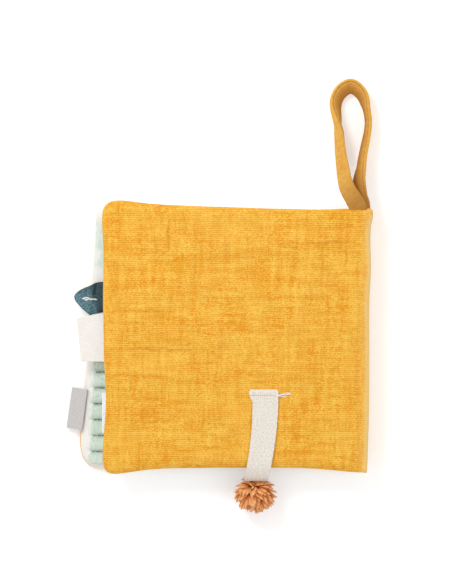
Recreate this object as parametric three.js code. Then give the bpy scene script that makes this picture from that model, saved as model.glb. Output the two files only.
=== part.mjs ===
import * as THREE from "three";

// A padded cloth book for a baby. It lies closed on its front cover, with the back cover on top.
// Millimetres, +Z up, +Y towards the head of the book, +X towards the spine.
// Pieces are placed from the middle of the spine fold; the finished book is centred on its own outline.

// Panels: two covers with a folded spread of two leaves between them
const coverWidth = 150.8; // fore edge to spine fold
const foreEdgeHeight = 155.6; // the fore edge bulges at its two corners
const foreEdgeRise = 2.1; // the fore edge sits this much nearer the head than the spine does
const spineHeight = 150.4;
const spineSlant = 2.7; // the head of the spine leans out this much further than its tail
const coverThickness = 5.4;
const leafThickness = 4.6;
const leafInset = 2.6; // a leaf is smaller than the back cover by this much on three sides
const coverCrown = 1.2;
const edgeDepth = 6; // width of the rounded border along a panel's seam
const clothThickness = 0.8;
const clearance = 0.3; // between pieces that touch
const seamGap = 0.3;

// The front cover has slid out past the back cover, more at its tail
const frontSlideHead = 3.6;
const frontSlideTail = 14.8;
const frontForeHeight = 153.3;
const frontForeRise = 1.3;
const frontRecessHead = 2.6; // how far its spine edge lies inside the spine fold
const frontRecessTail = 9.5;

// Seam outlines: corner radii and how far each edge is drawn in between its corners
const coverCorners = { spine: 3, foreHead: 5.7, foreTail: 5 };
const frontCorners = { spine: 3, foreHead: 7, foreTail: 14 };
const leafCorners = { spine: 3, foreHead: 5, foreTail: 5 };
const coverDrawIn = { spine: 0.4, head: 2.4, fore: 1, tail: 4.3 };
const frontDrawIn = { spine: 0.3, head: 2.6, fore: 0.4, tail: 4.6 };
const leafDrawIn = { spine: 0.3, head: 2, fore: 0.8, tail: 3.5 };

// Filling
const fillingEase = 1; // room between the filling and the border's inner face
const fillingInset = edgeDepth + clothThickness + fillingEase;
const waddingThickness = 1.6;
const filmThickness = 0.2;

// Spine band and binding
const spineClothThickness = 1;
const spineEndMargin = 3;
const bindingThread = 0.9;
const bindingInset = 1.5; // from the leaves' spine edge, in the groove of the centre fold

// Quilted patch inside the front cover
const patch = { rows: 7, rowPitch: 9.07, thickness: 1.1, top: -8.8, foreMargin: 4.5, right: -18 };

// Tabs and labels on the fore edges
const tealTab = { length: 19, width: 18.9, thickness: 1.6, tail: 14.6 };
const tabStitch = { length: 8, width: 0.9, height: 0.5 };
const creamTab = { length: 17.8, width: 28.4, layer: 0.8, fold: 0.5, tail: -11.9, endTaper: 2.4, headTaper: 3.6 };
const sideLabel = { length: 9.4, width: 23.4, layer: 0.45, fold: 0.3, head: -27, overlap: 1.5 };
const careLabel = { length: 3.4, width: 22.7, thickness: 0.6, head: -29.7 };
const labelDroop = 24; // degrees
const labelTurn = 7.8; // degrees, from the line of the spine

// Hanging loop at the head of the spine
const loop = { strapWidth: 10.5, strapThickness: 2.2, reach: 70.2, width: 17.8, foot: -18.35 };

// Linen tail with a yarn pompom, sewn on the back cover
const tail = { width: 14.4, endWidth: 13.5, thickness: 1.2, stitchLine: -31, middle: -59.1, drift: -5.4 };
const tailAnchor = { width: 16, head: 3, foot: 0.9, thickness: 1.5 };
const tailEnd = { reach: 46, drop: 6.2 }; // from the stitch line to the tip, and how far the tip hangs
const thread = { thickness: 0.7, length: 10.8, looseEnd: 6.8, start: -62.9 };
const pompom = { width: 25.2, depth: 22.4, height: 23, lobes: 0.1, beyond: 8.7, lift: 0.3 };

const materials = {
  muslin: material(0xefb141, 0.95),
  spineMuslin: material(0xf0be65, 0.95),
  cream: material(0xf7f3ef, 0.95),
  wadding: material(0xffffff, 1),
  film: material(0xd8dde2, 0.35),
  mint: material(0xbfd0be, 1),
  teal: material(0x67767a, 0.95),
  brushed: material(0xf6f2ec, 1),
  thread: material(0xf2d9cf, 0.8),
  label: material(0xcdc8c6, 0.7),
  care: material(0xfafafa, 0.6),
  linen: material(0xe7e0d7, 0.95),
  yarn: material(0xcd834f, 1),
};

function material(color, roughness) {
  return new THREE.MeshStandardMaterial({ color, roughness, metalness: 0 });
}

const book = new THREE.Group();

function addPiece(name, geometry, finish) {
  const mesh = new THREE.Mesh(geometry, finish);
  mesh.name = name;
  book.add(mesh);
  return mesh;
}

// Solids

function middleOf(points) {
  return points.reduce((sum, p) => sum.add(p), new THREE.Vector3()).divideScalar(points.length);
}

function signedVolume(points, faces) {
  let volume = 0;
  for (let i = 0; i < faces.length; i += 3) {
    const [a, b, c] = [points[faces[i]], points[faces[i + 1]], points[faces[i + 2]]];
    volume += a.dot(b.clone().cross(c)) / 6;
  }
  return volume;
}

// A closed solid through rings of equally many points, with a fan over each end.
function loft(rings, firstTip = middleOf(rings[0]), lastTip = middleOf(rings.at(-1))) {
  const around = rings[0].length;
  const points = [...rings.flat(), firstTip, lastTip];
  const lastRing = (rings.length - 1) * around;
  const faces = [];
  for (let k = 0; k < around; k++) {
    const next = (k + 1) % around;
    for (let start = 0; start < lastRing; start += around) {
      const [a, b, c, d] = [start + k, start + next, start + around + next, start + around + k];
      faces.push(a, b, c, a, c, d);
    }
    faces.push(points.length - 2, next, k);
    faces.push(points.length - 1, lastRing + k, lastRing + next);
  }
  if (signedVolume(points, faces) < 0) faces.reverse();
  const geometry = new THREE.BufferGeometry().setFromPoints(points).setIndex(faces);
  geometry.computeVertexNormals();
  return geometry;
}

function directionAt(stations, i) {
  const before = stations[Math.max(i - 1, 0)].at;
  const after = stations[Math.min(i + 1, stations.length - 1)].at;
  return after.clone().sub(before).normalize();
}

// The rings of a strap through stations, each with its place, the direction of its width, and its width.
function strapRings(stations, thickness) {
  return stations.map(({ at, side, width }, i) => {
    const along = directionAt(stations, i);
    const across = side.clone().addScaledVector(along, -side.dot(along)).normalize();
    const normal = along.clone().cross(across);
    const corner = (s, t) =>
      at.clone().addScaledVector(across, (s * width) / 2).addScaledVector(normal, (t * thickness) / 2);
    return [corner(-1, -1), corner(1, -1), corner(1, 1), corner(-1, 1)];
  });
}

// A tape folded back on itself: its open end at x = 0, its fold at x = -length, its head edge at y = 0.
function foldedTape({ length, width, layer, fold }) {
  const outer = fold / 2 + layer;
  const bend = -length + outer;
  const section = new THREE.Shape();
  section.moveTo(0, fold / 2);
  section.lineTo(bend, fold / 2);
  section.absarc(bend, 0, fold / 2, Math.PI / 2, (Math.PI * 3) / 2);
  section.lineTo(0, -fold / 2);
  section.lineTo(0, -outer);
  section.lineTo(bend, -outer);
  section.absarc(bend, 0, outer, (Math.PI * 3) / 2, Math.PI / 2, true);
  section.lineTo(0, outer);
  const geometry = new THREE.ExtrudeGeometry(section, { depth: width, bevelEnabled: false, curveSegments: 6 });
  return geometry.rotateX(Math.PI / 2);
}

// Outlines

const edgeSteps = 6;
const cornerSteps = 3;

// A seam outline through four corners, counterclockwise from the spine's tail.
function seamOutline(corners, radii, drawIns) {
  const next = (i) => (i + 1) % corners.length;
  const lengthOf = (i) => corners[i].distanceTo(corners[next(i)]);
  const onEdge = (i, share) => {
    const along = corners[next(i)].clone().sub(corners[i]);
    const inward = new THREE.Vector2(-along.y, along.x).normalize();
    const dip = drawIns[i] * (1 - (2 * share - 1) ** 4);
    return corners[i].clone().addScaledVector(along, share).addScaledVector(inward, dip);
  };
  return corners.flatMap((corner, i) => {
    const start = radii[i] / lengthOf(i);
    const end = 1 - radii[next(i)] / lengthOf(i);
    const edge = [];
    for (let k = 0; k <= edgeSteps; k++) edge.push(onEdge(i, start + ((end - start) * k) / edgeSteps));
    const turnEnd = onEdge(next(i), radii[next(i)] / lengthOf(next(i)));
    const turn = new THREE.QuadraticBezierCurve(edge.at(-1), corners[next(i)], turnEnd);
    return [...edge, ...turn.getPoints(cornerSteps).slice(1, -1)];
  });
}

function panelOutline({ spineTail, spineHead, foreHead, foreTail }, radii, drawIn) {
  return seamOutline(
    [spineTail, spineHead, foreHead, foreTail],
    [radii.spine, radii.spine, radii.foreHead, radii.foreTail],
    [drawIn.spine, drawIn.head, drawIn.fore, drawIn.tail],
  );
}

// Where an outline crosses the line on which the given coordinate has the given value: [low, high].
function crossings(outline, coordinate, value) {
  const other = coordinate === "x" ? "y" : "x";
  const found = [];
  outline.forEach((a, i) => {
    const b = outline[(i + 1) % outline.length];
    if (a[coordinate] < value === b[coordinate] < value) return;
    const share = (value - a[coordinate]) / (b[coordinate] - a[coordinate]);
    found.push(a[other] + (b[other] - a[other]) * share);
  });
  return [Math.min(...found), Math.max(...found)];
}

const foreEdgeAt = (outline, y) => crossings(outline, "y", y)[0];
const spineEdgeAt = (outline, y) => crossings(outline, "y", y)[1];
const tailEdgeAt = (outline, x) => crossings(outline, "x", x)[0];
const headEdgeAt = (outline, x) => crossings(outline, "x", x)[1];

function spineFoldAt(y) {
  return (spineSlant * y) / spineHeight;
}

// Panels

const spineAllowance = spineClothThickness + clearance;

function spineCorner(y, recess) {
  return new THREE.Vector2(spineFoldAt(y) - spineAllowance - recess, y);
}

const halfSpine = spineHeight / 2;
const foreHeadY = foreEdgeHeight / 2 + foreEdgeRise;
const foreTailY = -foreEdgeHeight / 2 + foreEdgeRise;

const coverOutline = panelOutline(
  {
    spineTail: spineCorner(-halfSpine, 0),
    spineHead: spineCorner(halfSpine, 0),
    foreHead: new THREE.Vector2(-coverWidth, foreHeadY),
    foreTail: new THREE.Vector2(-coverWidth, foreTailY),
  },
  coverCorners,
  coverDrawIn,
);

const leafOutline = panelOutline(
  {
    spineTail: spineCorner(-halfSpine + leafInset, 0),
    spineHead: spineCorner(halfSpine - leafInset, 0),
    foreHead: new THREE.Vector2(-coverWidth + leafInset, foreHeadY - leafInset),
    foreTail: new THREE.Vector2(-coverWidth + leafInset, foreTailY + leafInset),
  },
  leafCorners,
  leafDrawIn,
);

const frontOutline = panelOutline(
  {
    spineTail: spineCorner(-halfSpine, frontRecessTail),
    spineHead: spineCorner(halfSpine, frontRecessHead),
    foreHead: new THREE.Vector2(-coverWidth - frontSlideHead, frontForeHeight / 2 + frontForeRise),
    foreTail: new THREE.Vector2(-coverWidth - frontSlideTail, -frontForeHeight / 2 + frontForeRise),
  },
  frontCorners,
  frontDrawIn,
);

function insetRing(outline, inset, z) {
  const box = new THREE.Box2().setFromPoints(outline);
  const centre = box.getCenter(new THREE.Vector2());
  const size = box.getSize(new THREE.Vector2());
  const scaleX = 1 - (2 * inset) / size.x;
  const scaleY = 1 - (2 * inset) / size.y;
  return outline.map(
    (p) => new THREE.Vector3(centre.x + (p.x - centre.x) * scaleX, centre.y + (p.y - centre.y) * scaleY, z),
  );
}

function halfSpan(outline) {
  const size = new THREE.Box2().setFromPoints(outline).getSize(new THREE.Vector2());
  return Math.min(size.x, size.y) / 2;
}

// How far a panel's surface stands off its seam, at a distance in from the seam.
function standOff(panel, inset) {
  const border = 1 - Math.min(inset / edgeDepth, 1);
  const inward = 1 - inset / halfSpan(panel.outline);
  const half = panel.thickness / 2;
  return half * Math.sqrt(1 - border ** 2) + panel.crown * (1 - inward ** 2);
}

const outerRingShares = [0, 0.1, 0.3, 0.6, 1];
const innerRingShares = [0, 0.3, 1];
const crownRingShare = 0.45;

// One cloth of a panel: the half above (side 1) or below (side -1) the seam.
function clothShell(panel, side) {
  const reach = halfSpan(panel.outline);
  const crownInset = reach * crownRingShare;
  const level = (height) => panel.seam + side * Math.max(height, seamGap / 2);
  const outer = [...outerRingShares.map((share) => share * edgeDepth), crownInset].map((inset) =>
    insetRing(panel.outline, inset, level(standOff(panel, inset))),
  );
  const inner = [...innerRingShares.map((share) => share * edgeDepth), crownInset].map((inset) =>
    insetRing(panel.outline, inset + clothThickness, level(standOff(panel, inset) - clothThickness)),
  );
  const outerTip = middleOf(outer.at(-1)).setZ(level(standOff(panel, reach)));
  const innerTip = middleOf(inner.at(-1)).setZ(level(standOff(panel, reach) - clothThickness));
  return loft([...inner.reverse(), ...outer], innerTip, outerTip);
}

function slab(outline, inset, bottom, thickness, bevel) {
  const top = bottom + thickness;
  const rings = [insetRing(outline, inset + bevel, bottom)];
  if (bevel > 0) rings.push(insetRing(outline, inset, bottom + thickness / 2));
  rings.push(insetRing(outline, inset + bevel, top));
  return loft(rings);
}

function addFilling(name, panel) {
  const filmBottom = panel.seam - panel.thickness / 2 + clothThickness + clearance;
  const waddingBottom = filmBottom + filmThickness + clearance;
  addPiece(name + "_film", slab(panel.outline, fillingInset, filmBottom, filmThickness, 0), materials.film);
  const wadding = slab(panel.outline, fillingInset, waddingBottom, waddingThickness, waddingThickness / 2);
  addPiece(name + "_wadding", wadding, materials.wadding);
}

function panelAt(outline, bottom, thickness, crown) {
  return { outline, bottom, thickness, crown, seam: bottom + thickness / 2, top: bottom + thickness };
}

const patchBottom = coverThickness + clearance;
const frontCover = panelAt(frontOutline, 0, coverThickness, 0);
const leaf1 = panelAt(leafOutline, patchBottom + patch.thickness + clearance, leafThickness, 0);
const leaf2 = panelAt(leafOutline, leaf1.top + clearance, leafThickness, 0);
const backCover = panelAt(coverOutline, leaf2.top + clearance, coverThickness, 0);
const crownedCover = { ...backCover, crown: coverCrown };

addPiece("front_cover_cloth", clothShell(frontCover, -1), materials.muslin);
addPiece("front_cover_lining", clothShell(frontCover, 1), materials.cream);
addFilling("front_cover", frontCover);

addPiece("leaf_1_lower_cloth", clothShell(leaf1, -1), materials.cream);
addPiece("leaf_1_upper_cloth", clothShell(leaf1, 1), materials.cream);
addFilling("leaf_1", leaf1);

addPiece("leaf_2_lower_cloth", clothShell(leaf2, -1), materials.cream);
addPiece("leaf_2_upper_cloth", clothShell(leaf2, 1), materials.cream);
addFilling("leaf_2", leaf2);

addPiece("back_cover_lining", clothShell(backCover, -1), materials.cream);
addPiece("back_cover_cloth", clothShell(crownedCover, 1), materials.muslin);
addFilling("back_cover", backCover);

// Spine band: one stretch beside each panel, between the fold lines

function spineStretch(bottom, top) {
  const end = halfSpine - spineEndMargin;
  const ring = (z) => [
    new THREE.Vector3(spineFoldAt(-end) - spineClothThickness, -end, z),
    new THREE.Vector3(spineFoldAt(-end), -end, z),
    new THREE.Vector3(spineFoldAt(end), end, z),
    new THREE.Vector3(spineFoldAt(end) - spineClothThickness, end, z),
  ];
  return loft([ring(bottom), ring(top)]);
}

// The stretch of the front cover leans out from the recessed edge to the first fold line.
function leaningStretch() {
  const end = halfSpine - spineEndMargin;
  const top = leaf1.bottom - clearance;
  const section = (y) => {
    const inner = spineEdgeAt(frontOutline, y) + clearance;
    const fold = spineFoldAt(y);
    return [
      new THREE.Vector3(inner, y, frontCover.seam - spineClothThickness / 2),
      new THREE.Vector3(inner, y, frontCover.seam + spineClothThickness / 2),
      new THREE.Vector3(fold - spineClothThickness, y, top),
      new THREE.Vector3(fold, y, top),
      new THREE.Vector3(fold, y, top - spineClothThickness),
    ];
  };
  return loft([section(-end), section(0), section(end)]);
}

addPiece("spine_cloth_1", leaningStretch(), materials.spineMuslin);
addPiece("spine_cloth_2", spineStretch(leaf1.bottom, leaf1.top), materials.spineMuslin);
addPiece("spine_cloth_3", spineStretch(leaf2.bottom, leaf2.top), materials.spineMuslin);
addPiece("spine_cloth_4", spineStretch(backCover.bottom, backCover.seam), materials.spineMuslin);

// The thread that binds the spread lies in the groove between the leaves.
function bindingStitch() {
  const end = halfSpine - leafInset - spineEndMargin;
  const z = (leaf1.top + leaf2.bottom) / 2;
  const at = (y) => new THREE.Vector3(spineFoldAt(y) - spineAllowance - bindingInset, y, z);
  const route = new THREE.LineCurve3(at(-end), at(end));
  const section = new THREE.Shape().absarc(0, 0, bindingThread / 2, 0, Math.PI * 2);
  return new THREE.ExtrudeGeometry(section, { extrudePath: route, steps: 1, curveSegments: 8 });
}

addPiece("binding_stitch", bindingStitch(), materials.thread);

// Quilted patch: rows of plush between stitched lines, following the front cover's fore edge

const rowHeightShares = [0.5, 0.86, 1, 0.86];

function quiltedPatch() {
  const rings = [];
  const steps = patch.rows * rowHeightShares.length;
  for (let i = 0; i <= steps; i++) {
    const y = patch.top - (patch.rowPitch * i) / rowHeightShares.length;
    const left = foreEdgeAt(frontOutline, y) + patch.foreMargin;
    const top = patchBottom + patch.thickness * rowHeightShares[i % rowHeightShares.length];
    rings.push([
      new THREE.Vector3(left, y, patchBottom),
      new THREE.Vector3(patch.right, y, patchBottom),
      new THREE.Vector3(patch.right, y, top),
      new THREE.Vector3(left, y, top),
    ]);
  }
  return loft(rings);
}

addPiece("mint_patch", quiltedPatch(), materials.mint);

// Tabs and labels

// Leaf-shaped tab: each point is a share of its length out from the seam and of its width from the tail.
function tealTabShape() {
  const out = (share) => -tealTab.length * share;
  const up = (share) => tealTab.width * share;
  const shape = new THREE.Shape();
  shape.moveTo(out(0), up(0.18));
  shape.lineTo(out(0), up(1));
  shape.lineTo(out(0.25), up(1));
  shape.quadraticCurveTo(out(0.6), up(0.93), out(0.8), up(0.77));
  shape.quadraticCurveTo(out(1.04), up(0.58), out(0.97), up(0.44));
  shape.quadraticCurveTo(out(0.92), up(0.34), out(0.53), up(0.04));
  return shape;
}

const tealTabMiddle = tealTab.tail + tealTab.width / 2;
const tealTabBase = foreEdgeAt(leafOutline, tealTabMiddle) - clearance;
const tealTabSolid = addPiece(
  "teal_leaf_tab",
  new THREE.ExtrudeGeometry(tealTabShape(), { depth: tealTab.thickness, bevelEnabled: false, curveSegments: 5 }),
  materials.teal,
);
tealTabSolid.position.set(tealTabBase, tealTab.tail, leaf1.seam - tealTab.thickness / 2);

const stitchOutShare = 0.53;
const midrib = addPiece("leaf_tab_stitch", new THREE.SphereGeometry(0.5, 8, 6), materials.thread);
midrib.scale.set(tabStitch.length, tabStitch.width, tabStitch.height);
midrib.position.set(
  tealTabBase - tealTab.length * stitchOutShare,
  tealTabMiddle,
  leaf1.seam + (tealTab.thickness + tabStitch.height) / 2 + clearance,
);

// The cream tape is shorter along its tail edge, and its head edge falls away towards the fold.
function creamTabSolid() {
  const geometry = foldedTape(creamTab);
  const places = geometry.attributes.position;
  for (let i = 0; i < places.count; i++) {
    const outShare = -places.getX(i) / creamTab.length;
    const tailShare = -places.getY(i) / creamTab.width;
    places.setX(i, places.getX(i) + creamTab.endTaper * outShare * tailShare);
    places.setY(i, places.getY(i) - creamTab.headTaper * outShare * (1 - tailShare));
  }
  geometry.computeVertexNormals();
  return geometry;
}

const creamTabHead = creamTab.tail + creamTab.width;
const creamTabPiece = addPiece("cream_tab", creamTabSolid(), materials.brushed);
creamTabPiece.position.set(
  foreEdgeAt(leafOutline, creamTab.tail + creamTab.width / 2) - clearance,
  creamTabHead,
  leaf2.seam,
);

const labelMiddle = sideLabel.head - sideLabel.width / 2;
const labelThickness = sideLabel.fold + 2 * sideLabel.layer;
const labelPiece = addPiece("side_label", foldedTape(sideLabel), materials.label);
labelPiece.geometry.translate(0, sideLabel.width / 2, 0);
labelPiece.rotation.set(0, -THREE.MathUtils.degToRad(labelDroop), -THREE.MathUtils.degToRad(labelTurn), "ZYX");
labelPiece.position.set(
  foreEdgeAt(frontOutline, labelMiddle) + sideLabel.overlap,
  labelMiddle,
  frontCover.seam + standOff(frontCover, 2 * sideLabel.overlap) + clearance + labelThickness / 2,
);

const careLabelPiece = addPiece(
  "care_label",
  new THREE.BoxGeometry(careLabel.length, careLabel.width, careLabel.thickness),
  materials.care,
);
const careLabelMiddle = careLabel.head - careLabel.width / 2;
careLabelPiece.position.set(
  foreEdgeAt(leafOutline, careLabelMiddle) - clearance - careLabel.length / 2,
  careLabelMiddle,
  leaf2.seam,
);

// Hanging loop: each row is a share of the loop's width from its left, a share of its reach from the cover,
// how far it is lifted off the table as a share of the seam's height, and the strap's tilt from standing on
// edge (0) to lying flat, with its upper edge leaning out of the loop (90) or into it (-90).
const loopRowShares = [
  [0.69, 0.0, 0.972, -86],
  [0.66, 0.04, 0.95, -80],
  [0.54, 0.09, 0.86, -68],
  [0.38, 0.155, 0.7, -52],
  [0.265, 0.24, 0.46, -34],
  [0.19, 0.37, 0.22, -26],
  [0.11, 0.49, 0.08, -21],
  [0.05, 0.62, 0, -12],
  [0.01, 0.735, 0, 6],
  [0.02, 0.85, 0, 28],
  [0.2, 0.95, 0, 55],
  [0.47, 1.0, 0, 78],
  [0.8, 0.93, 0, 58],
  [0.95, 0.82, 0, 24],
  [1.0, 0.69, 0, 14],
  [0.96, 0.57, 0, 15],
  [0.86, 0.455, 0.06, 16],
  [0.8, 0.355, 0.16, 20],
  [0.725, 0.235, 0.32, 33],
  [0.735, 0.112, 0.56, 52],
  [0.79, 0.05, 0.72, 68],
  [0.8, 0.0, 0.829, 86],
];
const loopSteps = 40;

// Slides the corners of an end ring along the strap until they lie on the plane y = footY.
function trimRing(ring, along, footY) {
  ring.forEach((corner) => corner.addScaledVector(along, (footY - corner.y) / along.y));
}

function hangLoop() {
  const footY = headEdgeAt(coverOutline, loop.foot + loop.width / 2) + clearance;
  const { strapWidth, strapThickness } = loop;
  const places = loopRowShares.map(([across, along, lift, tilt]) => {
    const lean = THREE.MathUtils.degToRad(tilt);
    const lying = (strapWidth * Math.cos(lean) + strapThickness * Math.abs(Math.sin(lean))) / 2;
    const z = lying + clearance + lift * backCover.seam;
    return new THREE.Vector3(loop.foot + loop.width * across, footY + loop.reach * along, z);
  });
  const route = new THREE.CatmullRomCurve3(places);
  const stations = [];
  for (let i = 0; i <= loopSteps; i++) {
    const share = i / loopSteps;
    const row = Math.min(Math.floor(share * (places.length - 1)), places.length - 2);
    const tilt = THREE.MathUtils.lerp(
      loopRowShares[row][3],
      loopRowShares[row + 1][3],
      share * (places.length - 1) - row,
    );
    const lean = THREE.MathUtils.degToRad(tilt);
    const along = route.getTangent(share);
    const outward = new THREE.Vector3(-along.y, along.x, 0).normalize().multiplyScalar(Math.sin(lean));
    const side = outward.setZ(Math.cos(lean));
    stations.push({ at: route.getPoint(share), side, width: strapWidth });
  }
  const rings = strapRings(stations, strapThickness);
  trimRing(rings[0], directionAt(stations, 0), footY);
  trimRing(rings.at(-1), directionAt(stations, loopSteps), footY);
  return loft(rings);
}

addPiece("hang_loop", hangLoop(), materials.muslin);

// Tail: height of the back cover's cloth under a point, from its distance in from the tail edge
function coverTopAt(x, y) {
  const box = new THREE.Box2().setFromPoints(coverOutline);
  const centreY = box.getCenter(new THREE.Vector2()).y;
  const share = (y - centreY) / (tailEdgeAt(coverOutline, x) - centreY);
  const inset = (box.getSize(new THREE.Vector2()).y / 2) * (1 - share);
  return backCover.seam + standOff(crownedCover, inset);
}

const tailMiddleAt = (along) => tail.middle + (tail.drift * along ** 2) / tailEnd.reach ** 2;
const anchorFoot = tail.stitchLine - tailAnchor.foot;
const anchorHead = tail.stitchLine + tailAnchor.head;
const anchorBottom = coverTopAt(tail.middle, anchorHead) + clearance;
const anchorTop = anchorBottom + tailAnchor.thickness;

const anchor = addPiece(
  "tail_anchor",
  new THREE.BoxGeometry(tailAnchor.width, tailAnchor.head + tailAnchor.foot, tailAnchor.thickness),
  materials.linen,
);
anchor.position.set(tail.middle, (anchorHead + anchorFoot) / 2, (anchorTop + anchorBottom) / 2);

// Each row: how far along the tail, how far it has sunk from its start to its tip, and how far it has narrowed.
const tailRowShares = [
  [0, 0, 0],
  [0.3, 0.04, 0.3],
  [0.6, 0.08, 0.6],
  [0.76, 0.12, 0.76],
  [0.84, 0.22, 0.84],
  [0.92, 0.52, 0.92],
  [1, 1, 1],
];

const tailTop = anchorTop;
const tailStart = anchorFoot - clearance;

function tailStrap() {
  const side = new THREE.Vector3(1, 0, 0);
  const startZ = tailTop - tail.thickness / 2;
  const stations = tailRowShares.map(([along, sunk, narrowed]) => ({
    at: new THREE.Vector3(
      tailMiddleAt(tailEnd.reach * along),
      tailStart - tailEnd.reach * along,
      startZ - tailEnd.drop * sunk,
    ),
    side,
    width: tail.width + (tail.endWidth - tail.width) * narrowed,
  }));
  return loft(strapRings(stations, tail.thickness));
}

addPiece("tail_strap", tailStrap(), materials.linen);

// The sewing thread crosses the tape and ends in a loose tail on the cover.
function tailStitching() {
  const radius = thread.thickness / 2;
  const onTape = anchorTop + clearance + radius;
  const tapeEnd = tail.middle + tailAnchor.width / 2 + clearance + radius;
  const onCover = (x) => coverTopAt(x, tail.stitchLine) + clearance + radius;
  const looseEnd = tapeEnd + thread.looseEnd;
  const route = new THREE.CatmullRomCurve3(
    [
      new THREE.Vector3(thread.start, tail.stitchLine, onTape),
      new THREE.Vector3(thread.start + thread.length, tail.stitchLine, onTape),
      new THREE.Vector3(tapeEnd + radius, tail.stitchLine, onTape),
      new THREE.Vector3((tapeEnd + looseEnd) / 2, tail.stitchLine, onCover(looseEnd)),
      new THREE.Vector3(looseEnd, tail.stitchLine + thread.thickness, onCover(looseEnd)),
    ],
    false,
    "centripetal",
  );
  const section = new THREE.Shape().absarc(0, 0, radius, 0, Math.PI * 2);
  return new THREE.ExtrudeGeometry(section, { extrudePath: route, steps: 14, curveSegments: 6 });
}

addPiece("tail_stitching", tailStitching(), materials.thread);

// Yarn pompom: a lumpy ball hanging at the tail's tip
function pompomSolid() {
  const geometry = new THREE.IcosahedronGeometry(0.5, 3);
  const places = geometry.attributes.position;
  const point = new THREE.Vector3();
  for (let i = 0; i < places.count; i++) {
    point.fromBufferAttribute(places, i);
    const lump = Math.sin(point.x * 13) * Math.cos(point.y * 11) * Math.sin(point.z * 12 + 1);
    point.multiplyScalar(1 - (pompom.lobes * (1 + lump)) / 2);
    places.setXYZ(i, point.x * pompom.width, point.y * pompom.depth, point.z * pompom.height);
  }
  geometry.computeVertexNormals();
  return geometry;
}

const pompomPiece = addPiece("tail_pompom", pompomSolid(), materials.yarn);
pompomPiece.position.set(
  tailMiddleAt(tailEnd.reach),
  tailStart - tailEnd.reach - pompom.beyond,
  pompom.lift + pompom.height / 2,
);

// The origin is under the middle of the whole book, on the table.
book.updateMatrixWorld(true);
const centre = new THREE.Box3().setFromObject(book, true).getCenter(new THREE.Vector3());
book.position.set(-centre.x, -centre.y, 0);

export default book;
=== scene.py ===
import math
import bpy
import numpy as np
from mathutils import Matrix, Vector


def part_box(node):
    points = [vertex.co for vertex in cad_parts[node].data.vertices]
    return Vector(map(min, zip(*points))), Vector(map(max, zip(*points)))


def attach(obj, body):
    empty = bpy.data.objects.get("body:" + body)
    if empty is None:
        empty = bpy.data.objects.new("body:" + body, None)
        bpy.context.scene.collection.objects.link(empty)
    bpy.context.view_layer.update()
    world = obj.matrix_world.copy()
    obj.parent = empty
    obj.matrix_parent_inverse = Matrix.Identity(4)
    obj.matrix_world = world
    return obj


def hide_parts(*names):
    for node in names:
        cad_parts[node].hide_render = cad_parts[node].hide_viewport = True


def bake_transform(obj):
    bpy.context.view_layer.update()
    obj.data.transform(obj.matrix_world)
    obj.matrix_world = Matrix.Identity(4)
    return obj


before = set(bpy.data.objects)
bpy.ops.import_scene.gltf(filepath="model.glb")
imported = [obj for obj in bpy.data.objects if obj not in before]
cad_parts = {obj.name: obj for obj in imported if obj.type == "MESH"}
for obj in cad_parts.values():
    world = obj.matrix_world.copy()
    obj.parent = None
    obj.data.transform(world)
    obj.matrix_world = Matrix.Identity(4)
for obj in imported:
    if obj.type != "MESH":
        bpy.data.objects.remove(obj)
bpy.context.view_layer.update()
mm = 0.001


# helpers

def makeActive(piece, *others):
    bpy.ops.object.select_all(action="DESELECT")
    for each in (piece, *others):
        each.select_set(True)
    bpy.context.view_layer.objects.active = piece


def named(piece, name):
    piece.name = piece.data.name = name
    return piece


def copyOf(piece):
    makeActive(piece)
    bpy.ops.object.duplicate()
    return bpy.context.object


def joined(pieces, name):
    makeActive(*pieces)
    bpy.ops.object.join()
    return named(pieces[0], name)


def applyModifiers(piece):
    makeActive(piece)
    for modifier in list(piece.modifiers):
        bpy.ops.object.modifier_apply(modifier=modifier.name)


def editMesh(piece, *steps):  # each step starts with the whole mesh selected
    makeActive(piece)
    bpy.ops.object.mode_set(mode="EDIT")
    for step in steps:
        bpy.ops.mesh.select_all(action="SELECT")
        step()
    bpy.ops.object.mode_set(mode="OBJECT")


def selectEdges():
    bpy.context.tool_settings.mesh_select_mode = (False, True, False)


def turnOutward():
    bpy.ops.mesh.normals_make_consistent(inside=False)


def weld(distance=0.02 * mm):
    return lambda: bpy.ops.mesh.remove_doubles(threshold=distance)


def placesOf(piece, layer="co"):
    places = np.empty(len(piece.data.vertices) * 3, np.float32)
    piece.data.vertices.foreach_get(layer, places)
    return places.reshape(-1, 3).astype(float)


def setPlaces(piece, places):
    piece.data.vertices.foreach_set("co", places.astype(np.float32).ravel())
    piece.data.update()


def smoothStep(low, high, value):
    share = np.clip((value - low) / (high - low), 0, 1)
    return share * share * (3 - 2 * share)


def bell(off, width):
    return np.exp(-(off / width) ** 2)


def softNoise(x, y, seed):  # gradient noise around a half, one cell wide per unit
    turns = np.random.RandomState(seed).rand(256, 256) * 2 * np.pi
    column, row = np.floor(x).astype(int), np.floor(y).astype(int)
    across, along = x - column, y - row

    def corner(i, j):
        turn = turns[(column + i) % 256, (row + j) % 256]
        return np.cos(turn) * (across - i) + np.sin(turn) * (along - j)

    easeX = across ** 3 * (across * (across * 6 - 15) + 10)
    easeY = along ** 3 * (along * (along * 6 - 15) + 10)
    near = corner(0, 0) * (1 - easeX) + corner(1, 0) * easeX
    far = corner(0, 1) * (1 - easeX) + corner(1, 1) * easeX
    return 0.5 + 0.8 * (near * (1 - easeY) + far * easeY)


def waver(x, y, wide, tall, seed):  # noise around zero, its cells given in millimetres
    return softNoise(x / (wide * mm), y / (tall * mm), seed) - 0.5


def lengthsAlong(points):  # each point's distance from the first, along the line
    return np.concatenate([[0], np.cumsum(np.linalg.norm(np.diff(points, axis=0), axis=1))])


def alongLine(at, steps, points):  # the places at these distances along a flat line
    return np.column_stack([np.interp(at, steps, points[:, k]) for k in (0, 1)])


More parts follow.
